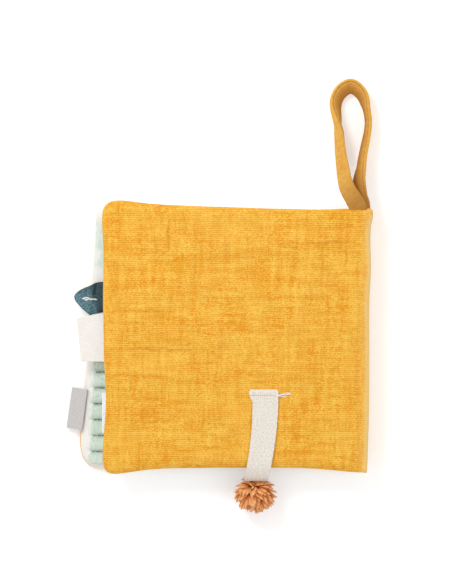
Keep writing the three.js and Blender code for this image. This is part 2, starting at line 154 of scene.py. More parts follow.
def addAttribute(piece, name, values):
    attribute = piece.data.attributes.new(name, "FLOAT", "POINT")
    attribute.data.foreach_set("value", np.asarray(values, np.float32))


def addGrid(name, columns, rows):  # a sheet of faces, and each point's share across and along it
    bpy.ops.mesh.primitive_grid_add(x_subdivisions=columns, y_subdivisions=rows, size=1)
    piece = named(bpy.context.object, name)
    places = placesOf(piece)
    return piece, places[:, 0] + 0.5, places[:, 1] + 0.5


def scaleUv(piece, width, length):  # the UV map in metres, so that a weave keeps its size
    layer = piece.data.uv_layers.active
    flat = np.empty(len(layer.data) * 2, np.float32)
    layer.data.foreach_get("uv", flat)
    flat = flat.reshape(-1, 2) * np.array([width, length], np.float32)
    layer.data.foreach_set("uv", flat.ravel())


def smoothShade(piece, degrees=60):
    makeActive(piece)
    bpy.ops.object.shade_smooth_by_angle(angle=math.radians(degrees))


def giveMaterial(piece, material):
    piece.data.materials.clear()
    piece.data.materials.append(material)


def subdivide(piece):
    modifier = piece.modifiers.new("Smooth", "SUBSURF")
    modifier.levels = modifier.render_levels = 1
    applyModifiers(piece)


def closeBelow(piece, under):  # joins a copy at the places under it, and a wall around
    lower = copyOf(piece)
    setPlaces(lower, under)
    editMesh(lower, bpy.ops.mesh.flip_normals)
    joined((piece, lower), piece.name)
    selectEdges()

    def addWall():
        bpy.ops.mesh.select_non_manifold(extend=False)
        bpy.ops.mesh.bridge_edge_loops()

    editMesh(piece, addWall, turnOutward)


def closeEnds(piece):
    selectEdges()

    def fillEnds():
        bpy.ops.mesh.select_non_manifold(extend=False)
        bpy.ops.mesh.fill_holes(sides=0)

    editMesh(piece, weld(), turnOutward, fillEnds, turnOutward)


def thicken(piece, thickness, rim):
    solidify = piece.modifiers.new("Thickness", "SOLIDIFY")
    solidify.thickness = thickness
    solidify.offset = 0
    solidify.use_even_offset = False
    bevel = piece.modifiers.new("Rim", "BEVEL")
    bevel.width = rim
    bevel.segments = 2
    bevel.limit_method = "ANGLE"
    bevel.angle_limit = math.radians(50)
    applyModifiers(piece)


def dress(piece, material, nodes, body=None, bend=None, degrees=60):
    smoothShade(piece, degrees)
    giveMaterial(piece, material)
    if bend:
        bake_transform(piece)
    else:
        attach(piece, body)
    if nodes:
        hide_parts(*nodes)


# materials: shared tools and shader groups

class GroupMaker:  # adds and links nodes in one node tree

    def __init__(self, tree):
        self.nodes, self.links = tree.nodes, tree.links

    def add(self, kind, inputs=(), **settings):  # a node; its inputs go by name or number
        node = self.nodes.new("ShaderNode" + kind)
        for name, value in settings.items():
            setattr(node, name, value)
        for name, value in dict(inputs).items():
            self.put(node.inputs[name], value)
        return node.outputs

    def put(self, socket, value):
        if isinstance(value, bpy.types.NodeSocket):
            self.links.new(value, socket)
        elif value is not None:
            socket.default_value = value

    def math(self, operation, *values, clamp=False):
        return self.add("Math", enumerate(values), operation=operation, use_clamp=clamp)[0]

    def centred(self, value):
        return self.math("SUBTRACT", value, 0.5)

    def noise(self, vector, scale, detail=2.0, roughness=0.5, distortion=0.0):
        names = ("Vector", "Scale", "Detail", "Roughness", "Distortion")
        return self.add("TexNoise", zip(names, (vector, scale, detail, roughness, distortion)))["Fac"]

    def stretch(self, vector, scale):
        return self.add("Mapping", {"Vector": vector, "Scale": scale})[0]

    def split(self, vector):
        return self.add("SeparateXYZ", {0: vector})

    def range(self, *values):  # the value, the range it has, and the range it gets if that isn't 0 to 1
        names = ("Value", "From Min", "From Max", "To Min", "To Max")
        return self.add("MapRange", zip(names, values), interpolation_type="SMOOTHSTEP")["Result"]

    def mix(self, share, first, second):
        return self.add("Mix", {0: share, 6: first, 7: second}, data_type="RGBA")[2]

    def fade(self, value, low, high, first, second, most=1.0):  # one colour to the other as the value rises
        return self.mix(self.range(value, low, high, 0.0, most), first, second)

    def attribute(self, name):
        return self.add("Attribute", attribute_name=name)["Fac"]

    def coat(self, colour, height, strength, distance):  # ends a material: its colour and relief
        bump = self.add("Bump", {"Strength": strength, "Distance": distance, "Height": height})
        self.put(self.shader["Base Color"], colour)
        self.put(self.shader["Normal"], bump[0])
        return self.material


def newMaterial(name, values, useUv=False):
    material = bpy.data.materials.new(name)
    material.use_nodes = True
    make = GroupMaker(material.node_tree)
    make.material, make.shader = material, material.node_tree.nodes["Principled BSDF"].inputs
    make.put(make.shader["Roughness"], values["roughness"])
    make.put(make.shader["Specular IOR Level"], values["specular"])
    make.put(make.shader["Sheen Weight"], values.get("sheen", 0.0))
    make.put(make.shader["Sheen Roughness"], 0.5)
    make.put(make.shader["Sheen Tint"], values.get("sheenTint"))
    return make, make.add("TexCoord")["UV" if useUv else "Object"]


def newGroup(name, numbers, outputs):  # takes a vector and numbers, gives numbers
    tree = bpy.data.node_groups.new(name, "ShaderNodeTree")
    tree.interface.new_socket(name="Vector", in_out="INPUT", socket_type="NodeSocketVector")
    for label, value in numbers.items():
        socket = tree.interface.new_socket(name=label, in_out="INPUT", socket_type="NodeSocketFloat")
        socket.default_value = value
    for label in outputs:
        tree.interface.new_socket(name=label, in_out="OUTPUT", socket_type="NodeSocketFloat")
    given, out = tree.nodes.new("NodeGroupInput").outputs, tree.nodes.new("NodeGroupOutput").inputs
    return tree, GroupMaker(tree), given, out


def makeWeaveGroup():  # plain weave: rows of weft thread crossed by finer warp
    tree, make, given, out = newGroup(
        "threadWeave",
        {"Row Pitch": 1.2 * mm, "Column Pitch": 1.1 * mm, "Wander": 0.6 * mm,
         "Row Depth": 1.0, "Fleck Share": 2.6},
        ("Height", "Tone"),
    )
    vector = given["Vector"]
    x, y, _ = make.split(vector)
    drift = make.centred(make.noise(vector, 90.0))
    driftX = make.centred(make.noise(make.stretch(vector, (1, 0.6, 1)), 130.0))

    def threads(drift, place, pitch):
        wandering = make.math("MULTIPLY_ADD", drift, given["Wander"], place)
        turn = make.math("DIVIDE", wandering, given[pitch])
        return make.math("COSINE", make.math("MULTIPLY", turn, 2 * math.pi))

    rows, columns = threads(drift, y, "Row Pitch"), threads(driftX, x, "Column Pitch")
    fleck = make.centred(make.noise(make.stretch(vector, (0.7, 1.5, 1.0)), 1450.0, 2.0, 0.65))
    fade = make.noise(make.stretch(vector, (1.0, 1.6, 1.0)), 60.0)
    rowDepth = make.math("MULTIPLY", rows, make.range(fade, 0.3, 0.7, 0.35, 1.0))
    rowDepth = make.math("MULTIPLY", rowDepth, given["Row Depth"])
    woven = make.math("MULTIPLY_ADD", rowDepth, 0.27, 0.5)
    woven = make.math("MULTIPLY_ADD", columns, 0.035, woven)
    make.put(out["Height"], make.math("MULTIPLY_ADD", fleck, 0.8, woven))
    make.put(out["Tone"], make.math("MULTIPLY_ADD", fleck, given["Fleck Share"], woven, clamp=True))
    return tree


def makeNapGroup():  # soft nap: fine fibres and slow blotches
    tree, make, given, out = newGroup(
        "softNap", {"Fibre Size": 1800.0, "Blotch Size": 45.0}, ("Height", "Blotch"))
    make.put(out["Height"], make.noise(given["Vector"], given["Fibre Size"], 4.0, 0.65, 0.4))
    make.put(out["Blotch"], make.noise(given["Vector"], given["Blotch Size"], 3.0, 0.55))
    return tree


weaveGroup = makeWeaveGroup()
napGroup = makeNapGroup()


def placeWeave(make, vector, values, rowDepth=1.0):
    return make.add("Group", {"Vector": vector, "Row Pitch": values["rowPitch"],
                              "Column Pitch": values["columnPitch"], "Wander": values["wander"],
                              "Row Depth": rowDepth}, node_tree=weaveGroup)


def linear(red, green, blue):  # a screen colour, 0 to 255, as the renderer's own
    def one(value):
        value /= 255
        return value / 12.92 if value <= 0.04045 else ((value + 0.055) / 1.055) ** 2.4

    return (one(red), one(green), one(blue), 1)


# camera, lights and floor

stageValues = {
    "imageHeight": 331.7 * mm,  # what the frame's height covers at the back cover
    "distance": 6.0,
    "aim": (3.46 * mm, 1.22 * mm, 22 * mm),
    "sensor": 36.0,
    "worldLight": 0.72,
    "lamps": (  # name, place, size and power; both look at the middle of the floor
        ("keyLamp", (-0.45, 0.62, 0.85), 0.45, 4.6),
        ("fillLamp", (0.7, -0.3, 0.8), 0.9, 1.0),
    ),
    "floorSize": 6.0,
    "floorLevel": -0.4 * mm,
    "floorColour": (0.93, 0.93, 0.93, 1),
    "floorGlow": 0.3,
}

aimX, aimY, aimZ = stageValues["aim"]
bpy.ops.object.camera_add(location=(aimX, aimY, aimZ + stageValues["distance"]), rotation=(0, 0, 0))
camera = bpy.context.object
camera.data.sensor_width = stageValues["sensor"]
camera.data.lens = stageValues["sensor"] * stageValues["distance"] / stageValues["imageHeight"]
camera.data.clip_start = 0.01
bpy.context.scene.camera = camera
bpy.context.scene.view_settings.view_transform = "Standard"

for name, place, size, power in stageValues["lamps"]:
    bpy.ops.object.light_add(type="AREA", location=place)
    lamp = bpy.context.object
    lamp.name = name
    lamp.data.shape = "DISK"
    lamp.data.size = size
    lamp.data.energy = power
    lamp.rotation_euler = (-Vector(place)).to_track_quat("-Z", "Y").to_euler()


def seenRays(make):  # 1 on camera, glossy and transmission rays
    path = make.add("LightPath")
    first = make.math("ADD", path["Is Camera Ray"], path["Is Glossy Ray"])
    return make.math("ADD", first, path["Is Transmission Ray"], clamp=True)


white = (1, 1, 1, 1)
world = bpy.data.worlds.new("studio")
bpy.context.scene.world = world
world.use_nodes = True
worldMake = GroupMaker(world.node_tree)
worldMake.nodes.clear()
ambient, backdrop = (worldMake.add("Background", {"Strength": strength, "Color": white})[0]
                     for strength in (stageValues["worldLight"], 1.0))
mixed = worldMake.add("MixShader", {0: seenRays(worldMake), 1: ambient, 2: backdrop})
worldMake.add("OutputWorld", {0: mixed[0]})

bpy.ops.mesh.primitive_plane_add(size=stageValues["floorSize"], location=(0, 0, stageValues["floorLevel"]))
floor = bpy.context.object
floor.name = "floor"
floorMake, _ = newMaterial("paleFloor", {"roughness": 0.9, "specular": 0.0})
glow = floorMake.math("MULTIPLY", seenRays(floorMake), stageValues["floorGlow"])
floorMake.put(floorMake.shader["Base Color"], stageValues["floorColour"])
floorMake.put(floorMake.shader["Emission Color"], white)
floorMake.put(floorMake.shader["Emission Strength"], glow)
giveMaterial(floor, floorMake.material)
print("stage ready")


# muslin: double gauze in mustard

muslinValues = {
    "roughness": 0.95,
    "specular": 0.1,
    "sheen": 0.12,
    "sheenTint": linear(255, 222, 150),
    "light": linear(252, 204, 94),
    "middle": linear(243, 180, 60),
    "dark": linear(228, 144, 30),
    # painted shade for creases, grooves and hollows, with the denser thread in the cover's creases
    "crease": linear(212, 128, 24),
    "creaseShadeShare": 0.75,
    # colour of the painted highlight on rolled edges
    "edge": linear(250, 214, 140),
    "paintedShade": linear(160, 104, 48),  # painted shade on the hanging loop's groove, inner side and foot
    "rowPitch": 1.19 * mm,
    "columnPitch": 1.05 * mm,
    "wander": 1.5 * mm,
    "bumpDistance": 0.28 * mm,
    "uprightCrinkleShade": (1.0, 0.13, 1.0),  # how the noise of the painted crinkle light and shade is stretched
    "levelCrinkleShade": (0.15, 1.0, 1.0),
    "crinkleShade": 0.9,
    "cloudShare": 0.2,
}


def makeMuslin(name, useUv=False, paler=None, rowDepth=1.0):
    values = muslinValues
    make, vector = newMaterial(name, values, useUv)
    weave = placeWeave(make, vector, values, rowDepth)
    # painted light and shade of fine crinkles, added to the weave's tone
    upright, level = (make.noise(make.stretch(vector, values[name]), scale, 2.0, 0.6)
                      for name, scale in (("uprightCrinkleShade", 340.0), ("levelCrinkleShade", 360.0)))
    crinkleShade = make.math("SUBTRACT", make.math("ADD", upright, level), 1.0)
    tone = make.math("MULTIPLY_ADD", crinkleShade, values["crinkleShade"], weave["Tone"])
    darkSide = make.fade(tone, 0.12, 0.55, values["dark"], values["middle"])
    colour = make.fade(tone, 0.49, 0.94, darkSide, values["light"])
    cloud = make.noise(vector, 38.0, 3.0)
    colour = make.fade(cloud, 0.35, 0.7, colour, values["light"], values["cloudShare"])
    # painted shade along the creases and grooves, ragged by noise
    ragged = make.range(make.noise(vector, 420.0, 3.0, 0.6), 0.3, 0.7, 0.45, 1.15)
    crease = make.math("MULTIPLY", make.attribute("crease"), ragged)
    crease = make.math("MULTIPLY", crease, values["creaseShadeShare"], clamp=True)
    colour = make.mix(crease, colour, values["crease"])
    # painted highlight on rolled edges
    colour = make.mix(make.attribute("paintedHighlight"), colour, values["edge"])
    if paler:
        colour = make.mix(paler[0], colour, paler[1])
        # painted shade on the hanging loop
        colour = make.mix(make.attribute("paintedShade"), colour, values["paintedShade"])
    return make.coat(colour, weave["Height"], 0.7, values["bumpDistance"])


muslin = makeMuslin("muslin")
muslinBand = makeMuslin("muslinBand", useUv=True, rowDepth=0.85)
muslinStrap = makeMuslin("muslinStrap", useUv=True, paler=(0.3, linear(226, 184, 118)), rowDepth=0.3)


# page cloth: plain cream cotton, with a soft mint wash on the front cover's inner face

pageValues = {
    "roughness": 0.9,
    "specular": 0.15,
    "cream": linear(247, 243, 238),
    "shade": linear(236, 229, 222),
    "rowPitch": 0.55 * mm,
    "columnPitch": 0.55 * mm,
    "wander": 0.3 * mm,
    "washLight": linear(232, 240, 232),
    "washDark": linear(208, 224, 211),
    "washEdge": (-75.5 * mm, -67.0 * mm),  # where it begins and where it is full, from the left
    "washFoot": (2 * mm, 22 * mm),
    "washTop": (47 * mm, 35 * mm),
    "washRagged": 12 * mm,
}


def makePageCloth(name, washed=False):
    values = pageValues
    make, vector = newMaterial(name, values)
    weave = placeWeave(make, vector, values)
    colour = make.fade(make.noise(vector, 110.0, 3.0), 0.4, 0.75, values["cream"], values["shade"], 0.5)
    if washed:
        x, y, _ = make.split(vector)
        blot = make.noise(vector, 130.0, 3.0, 0.6)
        edge = make.math("MULTIPLY_ADD", make.centred(blot), values["washRagged"], x)
        tall = make.math("MULTIPLY", make.range(y, *values["washFoot"]), make.range(y, *values["washTop"]))
        share = make.math("MULTIPLY", make.range(edge, *values["washEdge"]), tall)
        wash = make.fade(blot, 0.35, 0.65, values["washLight"], values["washDark"])
        colour = make.mix(share, colour, wash)
    return make.coat(colour, weave["Height"], 0.35, 0.12 * mm)


pageCloth = makePageCloth("pageCloth")
pageClothWashed = makePageCloth("pageClothWashed", washed=True)
print("main materials ready")


# panels: each is sewn from two cloths, puffed up by a cloth simulation

foldLineValues = {"at": 84.618 * mm, "middleY": -26.474 * mm, "slant": 2.7 / 150.4}


def foldLine(y):
    return foldLineValues["at"] + foldLineValues["slant"] * (y - foldLineValues["middleY"])


panelValues = {  # swell: millimetres outward on each side; pushes: x, y, reach, push in x, push in y
    "front_cover": {"lower": "front_cover_cloth", "upper": "front_cover_lining", "cells": 74, "crown": 0.0,
                    "pushes": ((-73, 52, 13, -0.7, 1.3), (-62, -99, 16, 0, -1.2)),
                    "corners": (((-1, -1), 7.4, 22), ((-1, 1), 4.6, 15))},
    "leaf_1": {"lower": "leaf_1_lower_cloth", "upper": "leaf_1_upper_cloth", "cells": 60, "crown": 0.0},
    "leaf_2": {"lower": "leaf_2_lower_cloth", "upper": "leaf_2_upper_cloth", "cells": 60, "crown": 0.0},
    "back_cover": {"lower": "back_cover_lining", "upper": "back_cover_cloth", "cells": 104, "crown": 1.2 * mm,
                   "swell": {"left": 0.9, "right": 0.4, "head": 1.0, "tail": 1.6},
                   "pushes": ((-66, 51, 13, -1.0, 1.0), (83, 46, 7, 2.2, 0), (83, -101, 6, 0.7, 0.3),
                              (-66, -60, 16, 1.3, 0), (-66, -4, 16, -0.4, 0)),
                   # corners: the side, how wide the rounding smooths and how far it reaches, in millimetres
                   "corners": (((-1, 1), 6.6, 20), ((-1, -1), 4.4, 15), ((1, 1), 2.4, 9), ((1, -1), 1.8, 8))},
}
sewing = {
    "levelSlack": 0.005 * mm,  # points this near the seam's height belong to it
    "innerSlack": 1.3 * mm,  # of two points nearer than this, the outer one is kept
    "ringSmoothing": 0.8 * mm,
    "edgeDepth": 6 * mm,
    "clothThickness": 0.6 * mm,
    "startShare": 0.92,  # how full the pad is before it is puffed
    "startBumps": (260, 0.25 * mm),  # cells in a metre, and height
    "startSeed": 11,
    "frames": 18,
    "settings": {"quality": 4, "mass": 0.15, "tension_stiffness": 12, "compression_stiffness": 6,
                 "shear_stiffness": 4, "bending_stiffness": 0.3, "use_pressure": True,
                 "uniform_pressure_force": 3.0, "shrink_min": -0.012},
    "mostMoved": 0.9 * mm,
    "mostRaised": 0.35 * mm,
    "rimPeek": 0.35 * mm,  # how far the front cover's outer cloth shows past its lining at the tail
    "rimPeekFrom": (-52 * mm, -66 * mm),  # from the first y it begins, from the second it is full
    "fill": 0.35,
}


def seamRing(node, upper):  # the cloth's outer seam line, counterclockwise
    places = placesOf(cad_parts[node])
    level = places[:, 2].min() if upper else places[:, 2].max()
    atSeam = np.abs(places[:, 2] - level) < sewing["levelSlack"]
    ring = np.unique(np.round(places[atSeam][:, :2], 6), axis=0)
    out = np.linalg.norm(ring - ring.mean(0), axis=1)
    near = np.linalg.norm(ring[:, None] - ring[None], axis=2) < sewing["innerSlack"]
    ring = ring[~(near & (out[None] > out[:, None] + 1e-6)).any(1)]  # the cloth's outer side only
    turned = ring - ring.mean(0)
    ring = ring[np.argsort(np.arctan2(turned[:, 1], turned[:, 0]))]
    return ring, level


def splineAt(a, b, c, d, share):  # on the smooth curve from b to c
    return 0.5 * (2 * b + (c - a) * share + (2 * a - 5 * b + 4 * c - d) * share ** 2
                  + (3 * b - a - 3 * c + d) * share ** 3)


def refinedRing(ring, steps=12):  # a smooth closed curve through the ring's points
    corners = [np.repeat(np.roll(ring, 1 - k, axis=0), steps, axis=0) for k in range(4)]
    return splineAt(*corners, np.tile(np.arange(steps) / steps, len(ring))[:, None])


def edgeCurves(ring):  # tail, spine, head and fore edge as functions of a share of their length
    centre = (ring.min(0) + ring.max(0)) / 2
    ways = ((-1, -1), (1, -1), (1, 1), (-1, 1))
    corners = [int(np.argmax((ring - centre) @ np.array(way))) for way in ways]

    def curve(first, last):
        stretch = ring[first:last + 1] if last > first else np.vstack([ring[first:], ring[:last + 1]])
        steps = lengthsAlong(stretch)
        return lambda share: alongLine(share * steps[-1], steps, stretch)

    tail, spine, head, fore = (curve(corners[k], corners[(k + 1) % 4]) for k in range(4))
    return tail, spine, lambda s: head(1 - s), lambda s: fore(1 - s)


def coonsPlaces(ring, u, v):
    tail, spine, head, fore = edgeCurves(ring)
    across = tail(u) * (1 - v)[:, None] + head(u) * v[:, None]
    along = fore(v) * (1 - u)[:, None] + spine(v) * u[:, None]
    corner = [curve(np.array([share]))[0] for curve, share in ((tail, 0), (tail, 1), (head, 0), (head, 1))]
    both = (corner[0] * ((1 - u) * (1 - v))[:, None] + corner[1] * (u * (1 - v))[:, None]
            + corner[2] * ((1 - u) * v)[:, None] + corner[3] * (u * v)[:, None])
    return across + along - both


def spread(share, strength=0.55):  # packs the grid's lines towards both edges
    return share - strength * np.sin(2 * np.pi * share) / (2 * np.pi)


def roundedEdge(insetX, insetY, most=1):  # 0 inside the panel, rising to 1 at its edge
    bands = [1 - np.clip(inset / sewing["edgeDepth"], 0, 1) for inset in (insetX, insetY)]
    return np.clip((bands[0] ** 3 + bands[1] ** 3) ** (1 / 3), 0, most)


def panelHeights(u, v, size, half, crown):
    band = roundedEdge(np.minimum(u, 1 - u) * size[0], np.minimum(v, 1 - v) * size[1])
    rise = crown * (1 - (2 * u - 1) ** 2) ** 0.5 * (1 - (2 * v - 1) ** 2) ** 0.5
    return half * np.sqrt(1 - band ** 2) + rise


def swellRing(ring, swell, pushes):
    low, high = ring.min(0), ring.max(0)
    share = (ring - low) / (high - low) * 2 - 1
    pushX = np.where(share[:, 0] > 0, swell["right"], swell["left"]) * share[:, 0] ** 9
    pushY = np.where(share[:, 1] > 0, swell["head"], swell["tail"]) * share[:, 1] ** 9
    moved = np.column_stack([pushX, pushY])
    for x, y, reach, byX, byY in pushes:
        near = np.exp(-((ring[:, 0] / mm - x) ** 2 + (ring[:, 1] / mm - y) ** 2) / reach ** 2)
        moved += near[:, None] * np.array([byX, byY])
    return ring + moved * mm


def evenRing(ring, step=0.4 * mm):
    closed = np.vstack([ring, ring[:1]])
    steps = lengthsAlong(closed)
    at = np.linspace(0, steps[-1], int(steps[-1] / step), endpoint=False)
    return alongLine(at, steps, closed), at, steps[-1]


def smoothRing(ring, at, around, width):
    apart = np.abs(at[:, None] - at[None])
    apart = np.minimum(apart, around - apart)
    weight = np.exp(-(apart / width) ** 2 / 2)
    return weight @ ring / weight.sum(1, keepdims=True)


def panelRing(values):  # the panel's seam line as it is sewn: swollen, with rounded corners
    ring, seamTop = seamRing(values["upper"], True)
    _, seamFoot = seamRing(values["lower"], False)
    ring, at, around = evenRing(refinedRing(ring))
    ring = smoothRing(ring, at, around, sewing["ringSmoothing"])
    if "pushes" in values:
        swell = values.get("swell", {"left": 0, "right": 0, "head": 0, "tail": 0})
        ring = swellRing(ring, swell, values["pushes"])
    low, high = ring.min(0), ring.max(0)
    for side, width, reach in values.get("corners", ()):
        corner = np.where(np.array(side) > 0, high, low)
        share = smoothStep(reach * mm, 0.5 * reach * mm, np.linalg.norm(ring - corner, axis=1))[:, None]
        ring = ring + (smoothRing(ring, at, around, width * mm) - ring) * share
    return ring, (seamTop + seamFoot) / 2


def markFaces(piece, value):
    attribute = piece.data.attributes.new("side", "INT", "FACE")
    attribute.data.foreach_set("value", np.full(len(piece.data.polygons), value, np.int32))


def makePad(body, values):  # one closed pad, its upper and lower cloth meeting at the seam
    ring, seam = panelRing(values)
    size = ring.max(0) - ring.min(0)
    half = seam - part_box(values["lower"])[0].z
    pad, u, v = addGrid(body + "_pad", values["cells"], values["cells"])
    u, v = spread(u), spread(v)
    flat = coonsPlaces(ring, u, v)
    under = copyOf(pad)
    setPlaces(pad, np.column_stack([flat, seam + panelHeights(u, v, size, half, values["crown"])]))
    setPlaces(under, np.column_stack([flat, seam - panelHeights(u, v, size, half, 0.0)]))
    editMesh(under, bpy.ops.mesh.flip_normals)
    markFaces(pad, 1)
    markFaces(under, 0)
    joined((pad, under), pad.name)
    editMesh(pad, weld())
    return pad, seam, half


def puff(pad, seam, half):
    designed = placesOf(pad)
    fullness = np.abs(designed[:, 2] - seam) / half
    start = designed.copy()
    start[:, 2] = seam + (designed[:, 2] - seam) * sewing["startShare"]
    cells, height = sewing["startBumps"]
    bumps = softNoise(start[:, 0] * cells, start[:, 1] * cells, sewing["startSeed"]) - 0.5
    start[:, 2] += bumps * height * np.clip(fullness, 0, 1)
    setPlaces(pad, start)
    cloth = pad.modifiers.new("Cloth", "CLOTH")
    for name, value in sewing["settings"].items():
        setattr(cloth.settings, name, value)
    cloth.settings.effector_weights.gravity = 0
    cloth.collision_settings.use_collision = False
    cloth.point_cache.frame_end = sewing["frames"]
    for step in range(1, sewing["frames"] + 1):
        bpy.context.scene.frame_set(step)
    applyModifiers(pad)
    bpy.context.scene.frame_set(1)
    moved = placesOf(pad) - designed
    far = np.linalg.norm(moved, axis=1, keepdims=True)
    moved *= sewing["mostMoved"] / np.sqrt(sewing["mostMoved"] ** 2 + far ** 2)
    moved[:, 2] = np.clip(moved[:, 2], -sewing["mostRaised"], sewing["mostRaised"])
    moved[:, :2] *= smoothStep(0.15, 0.9, fullness)[:, None]  # the sewn edge keeps its line
    setPlaces(pad, designed + moved)


def keepSide(pad, name, side):  # a copy of the pad's upper or lower cloth
    piece = named(copyOf(pad), name)
    bpy.context.tool_settings.mesh_select_mode = (False, False, True)
    flags = np.empty(len(piece.data.polygons), np.int32)
    piece.data.attributes["side"].data.foreach_get("value", flags)
    piece.data.polygons.foreach_set("select", flags != side)
    bpy.ops.object.mode_set(mode="EDIT")
    bpy.ops.mesh.delete(type="FACE")
    bpy.ops.object.mode_set(mode="OBJECT")
    piece.data.attributes.remove(piece.data.attributes["side"])
    return piece


crinkle = {
    "depth": 0.34 * mm,
    "puffs": 0.3 * mm,
    "bend": 1.7 * mm,
    "rolledFrom": (-6.0 * mm, -2.6 * mm),  # off the fold line: the painted highlight where the cloth rolls over beside the spine
    "rolledHighlightShare": 0.25,
    "faint": 130,  # short creases scattered over the cloth, their ranges in millimetres
    "faintX": (-72, 82),
    "faintY": (-98, 50),
    "faintLength": (8, 28),
    "faintStrength": (0.2, 0.65),
    "markedSeed": 7,  # the cloth that has the marked creases too
    "marked": (  # middle x, y and length in millimetres, turn in degrees, strength
        (-29.1, 34, 26, 91, 0.9), (-14.1, 14, 34, 88, 0.8), (3.2, 24, 22, 90, 0.85),
        (-19.9, 4.1, 28, 1, 0.75), (-38.3, -9.6, 32, -1, 1.0), (-33.5, -31.2, 58, -1, 1.0),
        (-9.6, -39.7, 26, 2, 0.7), (-46, -46.5, 34, 0, 0.95), (-44, -59.6, 24, -1, 0.8),
        (-35.4, -72, 32, 1, 0.8), (-6.4, -86.8, 20, -2, 0.75), (-43.7, -70, 18, 88, 0.7),
        (58, 18, 16, 92, 0.8), (71.6, 21, 16, 89, 0.7), (51.7, 0.4, 16, 93, 0.75),
        (61.9, 29.2, 34, 1, 0.85), (59.4, 14.3, 18, -2, 0.7), (57.8, -11, 26, 1, 0.85),
    ),
}


def creaseField(x, y, seed):  # 0 on smooth cloth, 1 along a crease
    random = np.random.RandomState(seed)
    lines = list(crinkle["marked"]) if seed == crinkle["markedSeed"] else []
    for _ in range(crinkle["faint"]):
        turn = random.choice([0, 90]) + random.normal(0, 7)
        middleX, middleY, length, strength = (
            random.uniform(*crinkle[name]) for name in ("faintX", "faintY", "faintLength", "faintStrength"))
        lines.append((middleX, middleY, length, turn, strength))
    bentX = x + waver(x, y, 9, 6, seed + 5) * crinkle["bend"]
    bentY = y + waver(x, y, 6, 9, seed + 6) * crinkle["bend"]
    field = np.zeros(len(x))
    for middleX, middleY, length, turn, strength in lines:
        way = math.radians(turn)
        offX, offY = bentX - middleX * mm, bentY - middleY * mm
        along = offX * math.cos(way) + offY * math.sin(way)
        across = -offX * math.sin(way) + offY * math.cos(way)
        reach = np.clip(1 - (np.abs(along) / (length * mm / 2)) ** 2, 0, 1)
        field = np.maximum(field, strength * reach * bell(across, (0.42 + 0.3 * strength) * mm))
    return field


def crinkleCloth(piece, seed, seam, half):
    places = placesOf(piece)
    x, y = places[:, 0], places[:, 1]
    crease = creaseField(x, y, seed)
    calm = 0.12 + 0.88 * smoothStep(0.25, 1.0, np.abs(places[:, 2] - seam) / half)
    puffs = waver(x, y, 9, 13, seed + 17) + 0.55 * waver(x, y, 4.2, 5.5, seed + 19)
    lift = (crinkle["puffs"] * puffs - crinkle["depth"] * crease) * calm
    rolledHighlight = smoothStep(*crinkle["rolledFrom"], x - foldLine(y)) * crinkle["rolledHighlightShare"]
    # painted shade along the creases, with the denser thread there
    addAttribute(piece, "crease", crease * calm)
    addAttribute(piece, "paintedHighlight", rolledHighlight)
    setPlaces(piece, places + placesOf(piece, "normal") * lift[:, None])


def innerSide(places, seam, half):  # the cloth's places moved inward by its thickness
    thickness = sewing["clothThickness"]
    rise = places[:, 2] - seam
    flatShare = np.clip(np.abs(rise) / half, 0, 1)
    under = places.copy()
    under[:, 2] = seam + np.sign(rise) * np.clip(np.abs(rise) - thickness * flatShare, 0, None)
    middle = (places.min(0) + places.max(0)) / 2
    reach = (places.max(0) - places.min(0)) / 2
    for axis in (0, 1):
        share = (places[:, axis] - middle[axis]) / reach[axis]
        under[:, axis] -= share ** 3 * thickness * (1 - flatShare ** 2)
    return under


def finishCloth(piece, body, node, look, seam, half):
    material, slotName, wrinkleSeed = look
    subdivide(piece)
    if wrinkleSeed:
        crinkleCloth(piece, wrinkleSeed, seam, half)
    places = placesOf(piece)
    if node == "front_cover_cloth":
        rim = smoothStep(0.55, 0.0, np.abs(places[:, 2] - seam) / half) * (places[:, 0] < 0)
        places[:, 0] -= rim * sewing["rimPeek"] * smoothStep(*sewing["rimPeekFrom"], places[:, 1])
    free = node == "back_cover_cloth"  # nothing lies on it
    places[:, 2] = np.clip(places[:, 2], seam - half, None if free else seam + half)
    setPlaces(piece, places)
    closeBelow(piece, innerSide(places, seam, half))
    dress(piece, material, [node], body)


clothLooks = {  # material, slot and the seed of the creases
    "front_cover_cloth": (muslin, "muslin", 41),
    "front_cover_lining": (pageClothWashed, "page_cloth", None),
    "back_cover_cloth": (muslin, "muslin", crinkle["markedSeed"]),
}

for body, values in panelValues.items():
    pad, seam, half = makePad(body, values)
    puff(pad, seam, half)
    for key, side in (("upper", 1), ("lower", 0)):
        node = values[key]
        piece = keepSide(pad, node.replace("_cloth", "_face").replace("_lining", "_inner_face"), side)
        look = clothLooks.get(node, (pageCloth, "page_cloth", None))
        finishCloth(piece, body, node, look, seam, half)
    bpy.data.objects.remove(pad)
    print("panel", body, "ready")
